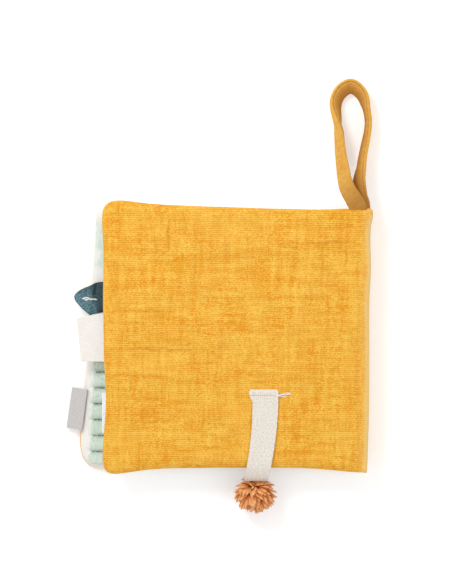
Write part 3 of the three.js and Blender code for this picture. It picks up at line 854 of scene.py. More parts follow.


# spine band: three strips of muslin

spineValues = {
    "ends": (-98.9 * mm, 46.6 * mm),
    "topEnds": (-101.2 * mm, 45.4 * mm),
    "topFrom": (14.3 * mm, 19 * mm),  # between these heights the ends move to their places at the top
    "cornerRadius": 1.3 * mm,
    "thickness": 0.8 * mm,
    "rim": 0.25 * mm,
    "recess": (9.5 * mm, 2.6 * mm),  # of the front cover's spine edge, at the tail and at the head
    "tuck": 1.5 * mm,  # how far strip 1 reaches past that edge
    "leaning": 5,  # the columns of strip 1 that lean
    "ripple": 0.22 * mm,
    "rows": 150,
    # waves: y, reach and bulge, in millimetres
    "waves": ((45, 5.5, 1.2), (33, 6, -0.5), (14, 10, 0.5), (-9, 8, -0.45), (-66, 40, 0.85)),
    "wavesFrom": (14.5 * mm, 18 * mm),
    "bendY": -26 * mm,
    "bendReach": 1.6 * mm,
    "strips": {
        "spine_strip_1": {"bodies": ("front_cover", "leaf_1"), "fold": 6.95 * mm, "nodes": ("spine_cloth_1",),
                          "heights": (2.7, 2.75, 3.2, 4.4, 5.6, 6.5, 7.4, 8.4, 9.4), "leanReach": 4 * mm},
        "spine_strip_2": {"bodies": ("leaf_1", "leaf_2"), "fold": 11.85 * mm, "nodes": ("spine_cloth_2",),
                          "heights": (9.4, 10.2, 11.0, 11.85, 12.7, 13.5, 14.3)},
        "spine_strip_3": {"bodies": ("leaf_2", "back_cover"), "fold": 16.75 * mm,
                          "nodes": ("spine_cloth_3", "spine_cloth_4"),
                          "heights": (14.3, 15.2, 16.0, 16.75, 17.5, 18.3, 19.1, 19.8, 20.5, 21.05,
                                      21.4, 21.4, 20.8),
                          "rollOver": (0, 0, 0, 0, 0, 0, 0.1, 0.3, 0.7, 1.25, 2.0, 3.0, 4.1)},
    },
}


def addSpineStrip(name, strip):  # a column of points for each height, from the tail to the head
    values = spineValues
    heights = np.array(strip["heights"]) * mm
    rollOver = np.array(strip.get("rollOver", np.zeros(len(heights))))
    piece, u, v = addGrid(name, len(heights) - 1, values["rows"])
    column = u * (len(heights) - 1)
    z = np.interp(column, np.arange(len(heights)), heights)
    inward = np.interp(column, np.arange(len(heights)), rollOver)
    (first, last), (topFirst, topLast) = values["ends"], values["topEnds"]
    length = last - first
    upper = smoothStep(*values["topFrom"], z)
    y = (first + (topFirst - first) * upper) * (1 - v) + (last + (topLast - last) * upper) * v
    radius = values["cornerRadius"]
    toEnd = np.clip(radius - np.minimum(v, 1 - v) * length, 0, radius)
    rounding = (radius - np.sqrt(radius ** 2 - toEnd ** 2)) * upper
    x = foldLine(y) - values["thickness"] / 2 - rounding - inward * mm
    if "leanReach" in strip:  # leans out from the recessed edge of the front cover
        recess = np.interp(v, (0, 1), values["recess"])
        place = np.clip(column / values["leaning"], 0, 1)
        x = x - (recess + values["tuck"]) * (1 - place)
    ripple = waver(y, z, 9, 5, 61) * values["ripple"]
    x = x + ripple * np.sin(np.pi * np.clip((z - 2.7 * mm) / (17 * mm), 0, 1))
    for level, width, bulge in values["waves"]:
        x = x + bulge * mm * bell(y / mm - level, width) * smoothStep(*values["wavesFrom"], z)
    setPlaces(piece, np.column_stack([x, y, z]))
    scaleUv(piece, heights[-1] - heights[0], length)
    # painted highlight, a little everywhere and most on the top of the roll, and painted shade where it rolls
    # down
    addAttribute(piece, "paintedHighlight", 0.06 + 0.9 * bell(inward - 0.8, 1.2))
    addAttribute(piece, "crease", 0.2 * bell(inward - 3.7, 0.5))
    thicken(piece, values["thickness"], values["rim"])
    middle = (foldLine(values["bendY"]), values["bendY"])
    start, end = ((*middle, strip["fold"] + side * values["bendReach"]) for side in (-1, 1))
    dress(piece, muslinBand, strip["nodes"], bend=(strip["bodies"], start, end))


for name, strip in spineValues["strips"].items():
    addSpineStrip(name, strip)
print("spine band ready")


# straps: a closed section swept along stations

def curveThrough(points, count):  # a smooth curve through the points, evenly shared between them
    points = np.array(points, float)
    share = np.linspace(0, len(points) - 1, count)
    part = np.minimum(share.astype(int), len(points) - 2)
    t = (share - part)[:, None]
    padded = np.vstack([2 * points[0] - points[1], points, 2 * points[-1] - points[-2]])
    return splineAt(*(padded[part + k] for k in range(4)), t)


def unit(vectors):
    return vectors / np.linalg.norm(vectors, axis=-1, keepdims=True)


def sweptStrap(name, middle, side, widths, thickness, section):  # section: shares across and through it
    stations, around = len(middle), len(section)
    piece, u, v = addGrid(name, around, stations - 1)
    station = np.rint(v * (stations - 1)).astype(int)
    s, t = section[np.rint(u * around).astype(int) % around].T
    along = unit(np.gradient(middle, axis=0))
    across = unit(side - along * (side * along).sum(1, keepdims=True))
    outward = np.cross(along, across)[station]
    setPlaces(piece, middle[station] + across[station] * (s * widths[station])[:, None]
              + outward * (t * np.broadcast_to(thickness, stations)[station])[:, None])
    length = lengthsAlong(middle)[-1]
    scaleUv(piece, 2 * (widths.mean() + np.mean(thickness)), length)
    return piece, s, t, station, outward, length


loopValues = {
    "rows": [  # shares across and along the loop, lift as a share of the seam's height, tilt of the strap
        (0.69, 0.0, 0.915, -86), (0.66, 0.04, 0.905, -80), (0.54, 0.09, 0.84, -68), (0.38, 0.155, 0.7, -54),
        (0.265, 0.24, 0.46, -40), (0.19, 0.37, 0.22, -34), (0.125, 0.49, 0.08, -27), (0.085, 0.62, 0, -13),
        (0.02, 0.74, 0, 12), (-0.015, 0.86, 0, 34), (0.17, 0.955, 0, 46), (0.48, 0.995, 0, 50),
        (0.81, 0.93, 0, 36), (0.975, 0.81, 0, 14), (1.02, 0.69, 0, 10), (0.96, 0.57, 0, 15),
        (0.86, 0.455, 0.06, 16), (0.8, 0.355, 0.16, 20), (0.725, 0.235, 0.32, 33), (0.735, 0.112, 0.56, 52),
        (0.79, 0.05, 0.72, 68), (0.8, 0.0, 0.829, 86),
    ],
    "foot": (66.268 * mm, 47.8 * mm),
    "size": (17.8 * mm, 71.0 * mm, 19.6 * mm),
    "strapWidth": 10.5 * mm,
    "strapThickness": 2.9 * mm,
    "flatWidth": 12.5 * mm,
    "widthMargin": 0.3 * mm,
    "clearance": 0.3 * mm,
    "stations": 170,
    "sectionPoints": 40,
    "slot": (0.03, 0.24),  # the groove along the upper edge: shares of the strap's width and thickness
    "opened": (7.4, 1.3, 0.5),  # where the folded strap opens a little: row, breadth and share
    "wave": 0.5 * mm,
    "footEnd": 47.6 * mm,
    "lowest": 0.1 * mm,
}


def loopSection():
    turn = np.arange(loopValues["sectionPoints"]) / loopValues["sectionPoints"] * 2 * np.pi
    turn = turn - 0.16 * np.sin(2 * turn)
    s = 0.5 * np.sign(np.cos(turn)) * np.abs(np.cos(turn)) ** 0.38
    t = 0.5 * np.sign(np.sin(turn)) * np.abs(np.sin(turn)) ** 0.62
    gap = bell(turn - 0.75, 0.14)
    return np.column_stack([s - loopValues["slot"][0] * gap, t - loopValues["slot"][1] * gap])


def addLoop():
    values = loopValues
    rows, stations = np.array(values["rows"]), values["stations"]
    tilts = np.radians(rows[:, 3])
    lying = (values["strapWidth"] * np.cos(tilts) + values["strapThickness"] * np.abs(np.sin(tilts))) / 2
    start = np.column_stack([np.tile(values["foot"], (len(rows), 1)), lying + values["clearance"]])
    middle = curveThrough(start + rows[:, :3] * values["size"], stations)
    share = np.linspace(0, len(rows) - 1, stations)
    lean = np.interp(share, np.arange(len(rows)), tilts)
    flat = np.gradient(middle, axis=0)
    outward = unit(np.column_stack([-flat[:, 1], flat[:, 0], np.zeros(stations)]))
    side = outward * np.sin(lean)[:, None] + np.array([0, 0, 1]) * np.cos(lean)[:, None]
    widths = np.full(stations, values["strapWidth"] - values["widthMargin"])
    openedAt, breadth, opened = values["opened"]
    thickness = values["strapThickness"] * (1 + opened * bell(share - openedAt, breadth))
    piece, s, t, station, outward, length = sweptStrap("hang_loop_strap", middle, side, widths, thickness,
                                                       loopSection())
    wave = softNoise(station / 9.0, s * 2.2 + 7, 71) - 0.5
    places = placesOf(piece) + outward * (wave * values["wave"])[:, None]
    places[:, 1] = np.maximum(places[:, 1], values["footEnd"])
    places[:, 2] = np.maximum(places[:, 2], values["lowest"])
    setPlaces(piece, places)
    # painted shade in the groove, on the inner side and at the feet, and a little over the whole strap
    groove = bell(s - 0.41, 0.05) * bell(t - 0.17, 0.16) * (0.75 + 0.25 * np.cos(station * 2.1))
    inner = (t > 0.3) * smoothStep(0.6, -0.4, s)
    atFoot = smoothStep(42, 10, station) + smoothStep(stations - 36, stations - 10, station)
    addAttribute(piece, "crease", np.clip(np.maximum(1.9 * groove, 0.5 * inner), 0, 1.9))
    addAttribute(piece, "paintedHighlight", np.zeros(len(s)))
    paintedShade = np.maximum(0.85 * groove, 0.6 * atFoot + 0.55 * inner + 0.1)
    addAttribute(piece, "paintedShade", np.clip(paintedShade, 0, 0.85))
    closeEnds(piece)
    subdivide(piece)
    dress(piece, muslinStrap, ["hang_loop"], "hang_loop", degrees=80)
    print("hanging loop ready,", round(length * 1000), "mm of strap")


addLoop()


# finer cloths: one weave or nap each, with their own colours

def makeTapeCloth(name, values, useUv=True):
    make, vector = newMaterial(name, values, useUv)
    weave = placeWeave(make, make.stretch(vector, values.get("stretch", (1, 1, 1))), values)
    colour = make.fade(weave["Tone"], 0.05, 0.95, values["dark"], values["light"])
    speck = make.noise(make.stretch(vector, (1, 2.2, 1)), 620.0, 3.0, 0.7)
    colour = make.fade(speck, 0.62, 0.78, colour, values["speck"], values["speckle"])
    if "shade" in values:
        colour = make.mix(make.attribute("shade"), colour, values["shade"])
    return make.coat(colour, weave["Height"], 0.7, values["bump"])


linenTape = makeTapeCloth("linenTape", {
    "roughness": 0.95, "specular": 0.1, "sheen": 0.1,
    "light": linear(250, 245, 238), "dark": linear(220, 208, 192), "speck": linear(204, 170, 132),
    "speckle": 0.6, "rowPitch": 0.95 * mm, "columnPitch": 0.8 * mm, "wander": 0.4 * mm, "bump": 0.1 * mm,
    "stretch": (0.8, 1.3, 1), "shade": linear(160, 146, 134)})
tealCloth = makeTapeCloth("tealCloth", {
    "roughness": 0.9, "specular": 0.15, "sheen": 0.15,
    "light": linear(122, 160, 170), "dark": linear(52, 80, 90), "speck": linear(176, 202, 206),
    "speckle": 0.8, "rowPitch": 0.62 * mm, "columnPitch": 0.6 * mm, "wander": 0.6 * mm, "bump": 0.15 * mm,
    "shade": linear(38, 48, 54)}, useUv=False)
wovenLabel = makeTapeCloth("wovenLabel", {
    "roughness": 0.75, "specular": 0.25,
    "light": linear(212, 207, 205), "dark": linear(194, 188, 186), "speck": linear(222, 218, 216),
    "speckle": 0.3, "rowPitch": 0.36 * mm, "columnPitch": 0.5 * mm, "wander": 0.06 * mm, "bump": 0.06 * mm})
satinLabel = makeTapeCloth("satinLabel", {
    "roughness": 0.45, "specular": 0.4,
    "light": linear(252, 252, 253), "dark": linear(242, 243, 246), "speck": linear(255, 255, 255),
    "speckle": 0.2, "rowPitch": 0.3 * mm, "columnPitch": 0.4 * mm, "wander": 0.04 * mm, "bump": 0.03 * mm})


def makeNapCloth(name, values, mask=None):
    make, vector = newMaterial(name, values)
    stretched = make.stretch(vector, values.get("stretch", (1, 1, 1)))
    sizes = {"Vector": stretched, "Fibre Size": values["fibre"], "Blotch Size": values["blotch"]}
    nap = make.add("Group", sizes, node_tree=napGroup)
    colour = make.fade(nap["Height"], 0.3, 0.7, values["dark"], values["light"])
    colour = make.fade(nap["Blotch"], 0.4, 0.75, colour, values["blotchColour"], values["blotchShare"])
    if mask:
        colour = mask(make, vector, colour)
    return make.coat(colour, nap["Height"], 0.6, values["bump"])


def mintMask(make, vector, colour):  # painted shade in the stitched grooves between the rows and beside them, and a soft cream border
    strokes = make.noise(make.stretch(vector, (1.0, 0.25, 1.0)), 900.0, 1.0)
    dark = make.math("MULTIPLY", make.attribute("rowGrooveShade"), make.range(strokes, 0.35, 0.6, 0.25, 1.0))
    shade = make.math("MULTIPLY", make.attribute("rowShade"), 0.35)
    colour = make.mix(dark, make.mix(shade, colour, linear(142, 168, 150)), linear(74, 98, 88))
    blot = make.centred(make.noise(vector, 420.0, 3.0))
    ragged = make.math("MULTIPLY_ADD", blot, 0.9, make.attribute("border"))
    return make.fade(ragged, 0.2, 0.95, linear(244, 242, 236), colour)


mintPlush = makeNapCloth("mintPlush", {
    "roughness": 1.0, "specular": 0.05, "sheen": 0.2, "stretch": (1.0, 0.35, 1.0), "fibre": 1300.0,
    "blotch": 110.0, "light": linear(238, 247, 236), "dark": linear(200, 219, 200), "blotchShare": 0.5,
    "blotchColour": linear(216, 232, 216), "bump": 0.5 * mm}, mintMask)
brushedTape = makeNapCloth("brushedTape", {
    "roughness": 1.0, "specular": 0.05, "sheen": 0.15, "fibre": 1500.0, "blotch": 160.0,
    "light": linear(252, 250, 246), "dark": linear(238, 232, 225), "blotchShare": 0.35,
    "blotchColour": linear(243, 230, 218), "bump": 0.25 * mm})
waddingFibre = makeNapCloth("waddingFibre", {
    "roughness": 1.0, "specular": 0.05, "fibre": 700.0, "blotch": 60.0,
    "light": linear(255, 255, 255), "dark": linear(236, 238, 240), "blotchShare": 0.2,
    "blotchColour": linear(246, 247, 250), "bump": 0.4 * mm})
whiteThread = makeNapCloth("whiteThread", {
    "roughness": 0.8, "specular": 0.2, "stretch": (3.0, 1.0, 1.0), "fibre": 1600.0, "blotch": 200.0,
    "light": linear(255, 252, 248), "dark": linear(244, 230, 220), "blotchShare": 0.4,
    "blotchColour": linear(250, 238, 230), "bump": 0.1 * mm})


def makeFilm():
    make, vector = newMaterial("crinkleFilm", {"roughness": 0.25, "specular": 0.5})
    folds = make.noise(vector, 220.0, 4.0, 0.6, 1.5)
    colour = make.fade(folds, 0.35, 0.65, linear(222, 227, 232), linear(240, 243, 246))
    return make.coat(colour, folds, 0.9, 0.6 * mm)


crinkleFilm = makeFilm()
for nodeName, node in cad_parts.items():
    for end, material in (("_film", crinkleFilm), ("_wadding", waddingFibre)):
        if nodeName.endswith(end):
            giveMaterial(node, material)


# tail: one linen tape, folded over at its head, sewn down and hanging past the cover's edge

tailValues = {
    "middle": 25.518 * mm,
    "aside": 0.35 * mm,
    "drift": -5.4 * mm,
    "reach": 47.3 * mm,
    "start": -58.674 * mm,
    "widthHead": 14.6 * mm,
    "widthEnd": 13.5 * mm,
    "thickness": 0.95 * mm,
    "rim": 0.25 * mm,
    "under": ((-57.7, 24.05), (-56.6, 24.0), (-55.3, 24.02), (-54.75, 24.15), (-54.5, 24.45), (-54.75, 24.78),
              (-55.4, 24.9), (-56.4, 24.88), (-57.5, 24.8), (-58.674, 24.62)),
    "rows": ((0.1, 0.015), (0.2, 0.025), (0.3, 0.04), (0.45, 0.06), (0.6, 0.08), (0.7, 0.1), (0.76, 0.12),
             (0.84, 0.22), (0.92, 0.52), (1.0, 1.0)),
    "top": 24.51 * mm,
    "drop": 6.2 * mm,
    "headSpread": 1.9 * mm,  # the head is wider on the left, where it frays
    "spreadFrom": (-61.8 * mm, -57.0 * mm),
    "frayed": 0.35 * mm,
    "headRound": 0.8 * mm,
    "roundFrom": -55.6 * mm,
    "roundReach": 1.2 * mm,
    "wave": 0.45 * mm,
    "curl": 0.22 * mm,
    "stitchLine": -57.47 * mm,
    "stitchDepth": 0.16 * mm,
    "stitchGroove": 0.35 * mm,
    "stitchShade": 0.38 * mm,
    "stitchFrom": 24.4 * mm,  # the layer above this height shows the stitches
    "stitchPitch": 1.18 * mm,
    "firstHole": 21.9 * mm,
    "lastHole": 32 * mm,
    "bendFrom": -57.6 * mm,
    "bendTo": -60.4 * mm,
    "bendHeight": 24.6 * mm,
    "columns": 60,
    "stations": 170,
}


def addTail():
    values = tailValues
    stations = values["stations"]
    route = [(y * mm, z * mm) for y, z in values["under"]]
    route += [(values["start"] - values["reach"] * along, values["top"] - values["drop"] * sunk)
              for along, sunk in values["rows"]]
    curve = curveThrough(route, stations)
    steps = lengthsAlong(curve)
    piece, u, v = addGrid("tail_tape", values["columns"], stations - 1)
    station = np.rint(v * (stations - 1)).astype(int)
    y, z = alongLine(np.linspace(0, steps[-1], stations), steps, curve)[station].T
    share = np.clip(values["start"] - y, 0, None) / values["reach"]
    width = values["widthHead"] + (values["widthEnd"] - values["widthHead"]) * share
    frayed = (softNoise(y / (0.8 * mm), u * 0 + 3.5, 83) - 0.5) * values["frayed"]
    x = values["middle"] + values["drift"] * share ** 2 + values["aside"] + (u - 0.5) * (width + frayed)
    x = x - smoothStep(*values["spreadFrom"], y) * values["headSpread"] * smoothStep(0.3, 0.0, u)
    rounded = np.clip((y - values["roundFrom"]) / values["roundReach"], 0, 1) ** 2
    x = x + rounded * values["headRound"] * (1 - 2 * u) ** 5
    z = z + waver(x, y, 7, 9, 87) * values["wave"] * smoothStep(0, 0.15, share)
    offStitch = y - values["stitchLine"]
    z = z - values["stitchDepth"] * bell(offStitch, values["stitchGroove"]) * (z > values["stitchFrom"])
    z = z + values["curl"] * (2 * u - 1) ** 2 * smoothStep(0.15, 0.5, share)
    setPlaces(piece, np.column_stack([x, y, z]))
    scaleUv(piece, values["widthHead"], steps[-1])
    # painted shade along the stitched groove, darker at the needle holes; the tape also darkens towards its
    # end
    stitch = bell(offStitch, values["stitchShade"]) * (z > values["stitchFrom"])
    turn = 2 * np.pi * (x - values["firstHole"]) / values["stitchPitch"]
    holes = np.clip(np.cos(turn), 0, 1) ** 2 * (x < values["lastHole"])
    shade = stitch * (0.25 + 0.95 * holes) + 0.4 * smoothStep(0.95, 1.0, share)
    addAttribute(piece, "shade", np.clip(shade, 0, 1))
    thicken(piece, values["thickness"], values["rim"])
    start, end = ((values["middle"], values[name], values["bendHeight"]) for name in ("bendFrom", "bendTo"))
    dress(piece, linenTape, ["tail_anchor", "tail_strap"],
          bend=(("back_cover", "tail"), start, end))
    print("tail ready,", round(steps[-1] * 1000), "mm of tape")


addTail()


# pompom: cut yarn, one tuft modelled and copied over a ball

pompomValues = {
    "middle": (20.0, -113.6, 11.9),
    "radii": (12.4, 11.2, 11.0),
    "tufts": 400,
    "sides": 7,
    "tip": 0.27,
    "cuts": (0.3, 0.55, 0.8),  # shares of a tuft's length
    "flatness": 0.36,
    "jitter": 0.26,
    "bend": 0.7,
    "shortShare": 0.18,
    "shortLength": 0.8,
    "bendReach": 3.2 * mm,
    "combReach": 4.5 * mm,
    "combed": 0.42,  # how far the tufts' tips are drawn away from the tape
    "knot": (-0.8, 2.2, 0.8),  # millimetres from the middle to where the tufts are tied
    "root": 0.36,
    "length": (0.8, 1.02),
    "width": (1.3, 2.1),  # millimetres, half the tuft's breadth
    "seed": 5,
    "strapEnd": (20.2 * mm, -107.2 * mm, 16.6 * mm),  # no tuft stands higher than this under the tape
    "strapEndReach": 1.5 * mm,
    "strapSide": (7.6 * mm, 6.0 * mm),  # off the tape's middle: free beyond the first, held within the second
    "floor": 0.5 * mm,
    "pressed": 0.12,  # what is left of a tuft's depth below that floor
}


def makeYarn():
    make, vector = newMaterial("cutYarn", {"roughness": 1.0, "specular": 0.05, "sheen": 0.25,
                                           "sheenTint": linear(240, 190, 140)})
    # painted shade deep among the tufts and painted highlight at their tips, by how far out each point lies
    depth = make.attribute("depth")
    colour = make.fade(depth, 0.45, 0.8, linear(182, 94, 42), linear(246, 166, 96))
    colour = make.fade(depth, 0.75, 1.0, colour, linear(253, 198, 140))
    colour = make.mix(make.math("MULTIPLY", make.attribute("tuft"), 0.4), colour, linear(216, 138, 84))
    fibres = make.noise(vector, 2400.0, 3.0, 0.6)
    colour = make.fade(fibres, 0.35, 0.7, colour, linear(236, 178, 128), 0.35)
    return make.coat(colour, fibres, 0.6, 0.2 * mm)


def addTuft():  # one tuft, a unit long
    bpy.ops.mesh.primitive_cone_add(vertices=pompomValues["sides"], radius1=0.5, radius2=pompomValues["tip"],
                                    depth=1, location=(0, 0, 0.5))
    piece = named(bpy.context.object, "pompom_tufts")
    bpy.ops.object.transform_apply(location=True)

    def cutAt(height):
        return lambda: bpy.ops.mesh.bisect(plane_co=(0, 0, height), plane_no=(0, 0, 1))

    editMesh(piece, *(cutAt(height) for height in pompomValues["cuts"]))
    shape = placesOf(piece)
    fat = 0.45 + 0.8 * np.sin(np.pi * np.clip(shape[:, 2] * 0.86, 0, 1)) ** 0.8
    shape[:, 0] *= fat
    shape[:, 1] *= fat * pompomValues["flatness"]
    return piece, shape


def addPompom():
    values = pompomValues
    random = np.random.RandomState(values["seed"])
    piece, shape = addTuft()
    middle, radii, knot = (np.array(values[name]) * mm for name in ("middle", "radii", "knot"))
    total = values["tufts"]
    along = shape[:, 2:3]
    copies, depths, tones = [], [], []
    for i in range(total):
        height = 1 - 2 * (i + 0.5) / total
        turn = i * math.pi * (3 - math.sqrt(5)) + random.uniform(-0.15, 0.15)
        ring = math.sqrt(1 - height * height)
        way = unit(np.array([ring * math.cos(turn), ring * math.sin(turn), height])
                   + random.normal(0, values["jitter"], 3))
        lean = unit(np.cross(way, (0, 1, 0.3) + random.normal(0, 0.5, 3)))
        reach = random.uniform(*values["length"])
        if random.rand() < values["shortShare"]:
            reach *= values["shortLength"]
        breadth = random.uniform(*values["width"]) * 2 * mm
        bend = random.uniform(-values["bend"], values["bend"])
        out = values["root"] + (reach - values["root"]) * along
        comb = way * way[1] - np.array([0, 1.0, 0])
        local = way * out * radii + lean * (bend * along ** 2 * values["bendReach"]) + knot * (1 - along)
        local += comb * (values["combed"] * along ** 2 * values["combReach"])
        local += lean * shape[:, 0:1] * breadth * 0.8 + np.cross(way, lean) * shape[:, 1:2] * breadth
        copies.append(middle + local)
        depths.append(out[:, 0])
        tones.append(np.full(len(shape), random.rand()))
    places = np.concatenate(copies)
    strapX, strapY, strapZ = values["strapEnd"]
    behind = smoothStep(strapY - values["strapEndReach"], strapY, places[:, 1])
    inside = behind * smoothStep(*values["strapSide"], np.abs(places[:, 0] - strapX))
    places[:, 2] -= inside * np.clip(places[:, 2] - strapZ, 0, None)
    below = np.clip(values["floor"] - places[:, 2], 0, None)
    places[:, 2] += below * (1 - values["pressed"])
    faces = [tuple(face.vertices) for face in piece.data.polygons]
    mesh = bpy.data.meshes.new("pompom_tufts")
    mesh.from_pydata(places.tolist(), [], [tuple(i * len(shape) + k for k in face)
                                           for i in range(total) for face in faces])
    mesh.update()
    piece.data = mesh
    addAttribute(piece, "depth", np.concatenate(depths))
    addAttribute(piece, "tuft", np.concatenate(tones))
    dress(piece, makeYarn(), ["tail_pompom"], "pompom", degrees=70)
    print("pompom ready,", total, "tufts")


addPompom()


# quilted plush patch inside the front cover

patchValues = {
    "rows": 7,
    "pitch": 9.07 * mm,
    "facesPerRow": 14,
    "columns": 300,
    "top": -35.274 * mm,
    "left": (-73.2 * mm, -76.0 * mm),  # at the top and at the bottom
    "right": 66.6 * mm,
    "scallop": 1.5 * mm,
    "margin": 0.9 * mm,
    "ragged": 0.7 * mm,
    "underLeaf": 1.0 * mm,  # height of a row under the leaf, and where it is free
    "free": 1.9 * mm,
    "leafEdge": -63.6 * mm,
    "fade": 2.4 * mm,
    "wave": 0.5 * mm,
    "pile": 0.3 * mm,
    "ground": (2.7 * mm, 2.72 * mm, -100.2 * mm),  # the pad under it: its seam, half its height, its tail
    "sunk": 0.15 * mm,
    "lineWidth": 0.5 * mm,  # of the painted shade in the stitched grooves, and of the painted shade beside them
    "shadeWidth": 1.8 * mm,
    "lineFrom": (0.9 * mm, 3.2 * mm),  # from the left edge
}


def foreEdgeOf(body):
    ring, _ = panelRing(panelValues[body])
    left = ring[ring[:, 0] < -20 * mm]
    left = left[np.argsort(left[:, 1])]
    return lambda y: np.interp(y, left[:, 1], left[:, 0])


def addPatch():
    values = patchValues
    piece, u, v = addGrid("mint_quilted_patch", values["columns"], values["rows"] * values["facesPerRow"])
    y = values["top"] - values["pitch"] * values["rows"] * (1 - v)
    foreEdge = foreEdgeOf("front_cover")(y)
    row = (values["top"] - y) / values["pitch"]
    inRow = np.clip(row - np.floor(row - 1e-6), 0, 1)
    puff = np.sin(np.pi * inRow) ** 0.5
    left = np.interp(row, (0, values["rows"]), values["left"]) - values["scallop"] * (puff - 0.7)
    left = np.maximum(left, foreEdge + values["margin"])
    left = left + (softNoise(row * 2.2 + 4, y * 0 + 1.5, 97) - 0.5) * values["ragged"]
    x = left + (values["right"] - left) * u ** 1.5
    free = smoothStep(values["leafEdge"] + 3 * mm, values["leafEdge"] - 0.5 * mm, x)
    rise = values["underLeaf"] + (values["free"] - values["underLeaf"]) * free
    border = np.clip((x - left) / values["fade"], 0, 1)
    tufted = (waver(x, y, 2.6, 2.2, 91) * values["wave"] + waver(x, y, 0.7, 1.1, 93) * values["pile"]) * free
    height = rise * (0.22 + 0.78 * puff) * (0.12 + 0.88 * np.sqrt(border)) + tufted * puff
    seam, half, tailEdge = values["ground"]
    ground = seam + half * np.sqrt(1 - roundedEdge(x - foreEdge, y - tailEdge, 0.97) ** 2)
    setPlaces(piece, np.column_stack([x, y, ground + np.maximum(height, 0.1 * mm)]))
    near = np.minimum(inRow, 1 - inRow) * values["pitch"]
    inside = smoothStep(*values["lineFrom"], x - left)
    # painted shade in the stitched grooves and beside them
    addAttribute(piece, "rowGrooveShade", bell(near, values["lineWidth"]) * inside)
    addAttribute(piece, "rowShade", bell(near, values["shadeWidth"]) * (0.3 + 0.7 * inside))
    addAttribute(piece, "border", border)
    closeBelow(piece, np.column_stack([x, y, ground - values["sunk"]]))
    dress(piece, mintPlush, ["mint_patch"], "front_cover")
    print("quilted patch ready")


addPatch()


# leaf-shaped tab: two puffed cloths sewn round a leaf outline

leafTabValues = {
    "place": (-63.089 * mm, -11.874 * mm),
    "size": (-19 * mm, 18.9 * mm),
    "middle": 9.4 * mm,
    "thickness": 1.6 * mm,
    "rings": 12,
    "outline": ((0, 0.16), (0, 0.4), (0, 0.7), (0, 1.0), (0.08, 1.0), (0.169, 1.0), (0.3, 0.995),
                (0.427, 0.962), (0.52, 0.912), (0.6, 0.873), (0.72, 0.828), (0.827, 0.778), (0.93, 0.712),
                (1.01, 0.64), (1.05, 0.56), (1.03, 0.464), (0.98, 0.38), (0.905, 0.295), (0.82, 0.2),
                (0.73, 0.12), (0.64, 0.045), (0.57, -0.012), (0.5, 0.02), (0.427, 0.04), (0.3, 0.065),
                (0.169, 0.1)),
    "crease": ((0.4, 1.0), (0.53, 0.0)),
    "wave": 0.35 * mm,
    "shadedBase": (-73.2 * mm, -70.2 * mm),  # from here towards its seam it is shaded
    "creaseWidth": 0.8 * mm,
    "thinnest": 0.04 * mm,
}


def addLeafTab():
    values = leafTabValues
    outline, (first, last) = (np.array(values["place"]) + np.array(values[name]) * values["size"]
                              for name in ("outline", "crease"))
    ahead = np.repeat(np.roll(outline, -1, axis=0), 4, axis=0)
    fine = np.repeat(outline, 4, axis=0)
    fine = fine + (ahead - fine) * np.tile(np.arange(4) / 4, len(outline))[:, None]
    middle = outline.mean(0)
    way = unit(last - first)
    halves = []
    for side in (1, -1):
        piece, u, v = addGrid("teal_leaf", len(fine), values["rings"])
        index = np.rint(u * len(fine)).astype(int) % len(fine)
        share = 1 - (1 - v) ** 1.6
        flat = middle + (fine[index] - middle) * share[:, None]
        puff = np.sqrt(np.clip(1 - share ** 3.2, 0, 1))
        crease = bell((flat - first) @ np.array([way[1], -way[0]]), values["creaseWidth"])
        ripple = waver(flat[:, 0], flat[:, 1], 3, 3, 101) * values["wave"]
        height = (values["thickness"] / 2 * puff + ripple * puff) * (1 - 0.5 * crease)
        height = np.maximum(height, values["thinnest"])
        setPlaces(piece, np.column_stack([flat, values["middle"] + side * height]))
        offX, offY = (flat - middle).T
        # painted shade towards the seam under the cover (where the cloth is darker too), along the crease and
        # round the sewn rim; the upper half is darker as well
        baseSide = smoothStep(*values["shadedBase"], flat[:, 0] + offY * 0.25)
        upper = 0.38 * smoothStep(-1 * mm, 3 * mm, offY + offX * 0.3)
        seam = smoothStep(0.9, 1.0, share) * 0.3
        shade = baseSide * 0.72 + crease * 0.25 + seam + upper * (1 - baseSide)
        addAttribute(piece, "shade", np.clip(shade, 0, 1))
        halves.append(piece)
    piece = joined(halves, "teal_leaf")
    editMesh(piece, weld(0.09 * mm), turnOutward)
    dress(piece, tealCloth, ["teal_leaf_tab"], "teal_tab", degrees=80)


addLeafTab()


# stitches: rounded lengths of thread

def turned(x, y, angle):
    return x * math.cos(angle) - y * math.sin(angle), x * math.sin(angle) + y * math.cos(angle)


def addStitches(name, places, ways, length, thickness, body, node):
    made = []
    for place, way in zip(places, ways):
        bpy.ops.mesh.primitive_uv_sphere_add(segments=10, ring_count=8, radius=0.5)
        stitch = bpy.context.object
        x, y, z = (placesOf(stitch) * np.array([length, thickness, thickness * 0.8])).T
        x = np.sign(x) * np.abs(x / length * 2) ** 0.8 * length / 2
        setPlaces(stitch, np.column_stack([*turned(x, y, math.atan2(way[1], way[0])), z]) + np.array(place))
        made.append(stitch)
    dress(joined(made, name), whiteThread, [node], body, degrees=80)


midribPlaces = ((-77.3, -2.4, 10.2), (-75.6, -2.1, 10.3), (-74.1, -2.7, 10.3), (-75.9, -3.2, 10.25),
                (-72.9, -2.9, 10.2), (-70.9, -3.0, 10.15))
midribWays = ((1, 0.3), (1, -0.15), (1, -0.4), (1, 0.1), (1, 0.2), (1, -0.2))
addStitches("leaf_tab_midrib", np.array(midribPlaces) * mm, midribWays, 2.4 * mm, 0.85 * mm, "teal_tab",
            "leaf_tab_stitch")
print("leaf tab ready")


# folded tapes: the cream tab, the woven side label and the care label

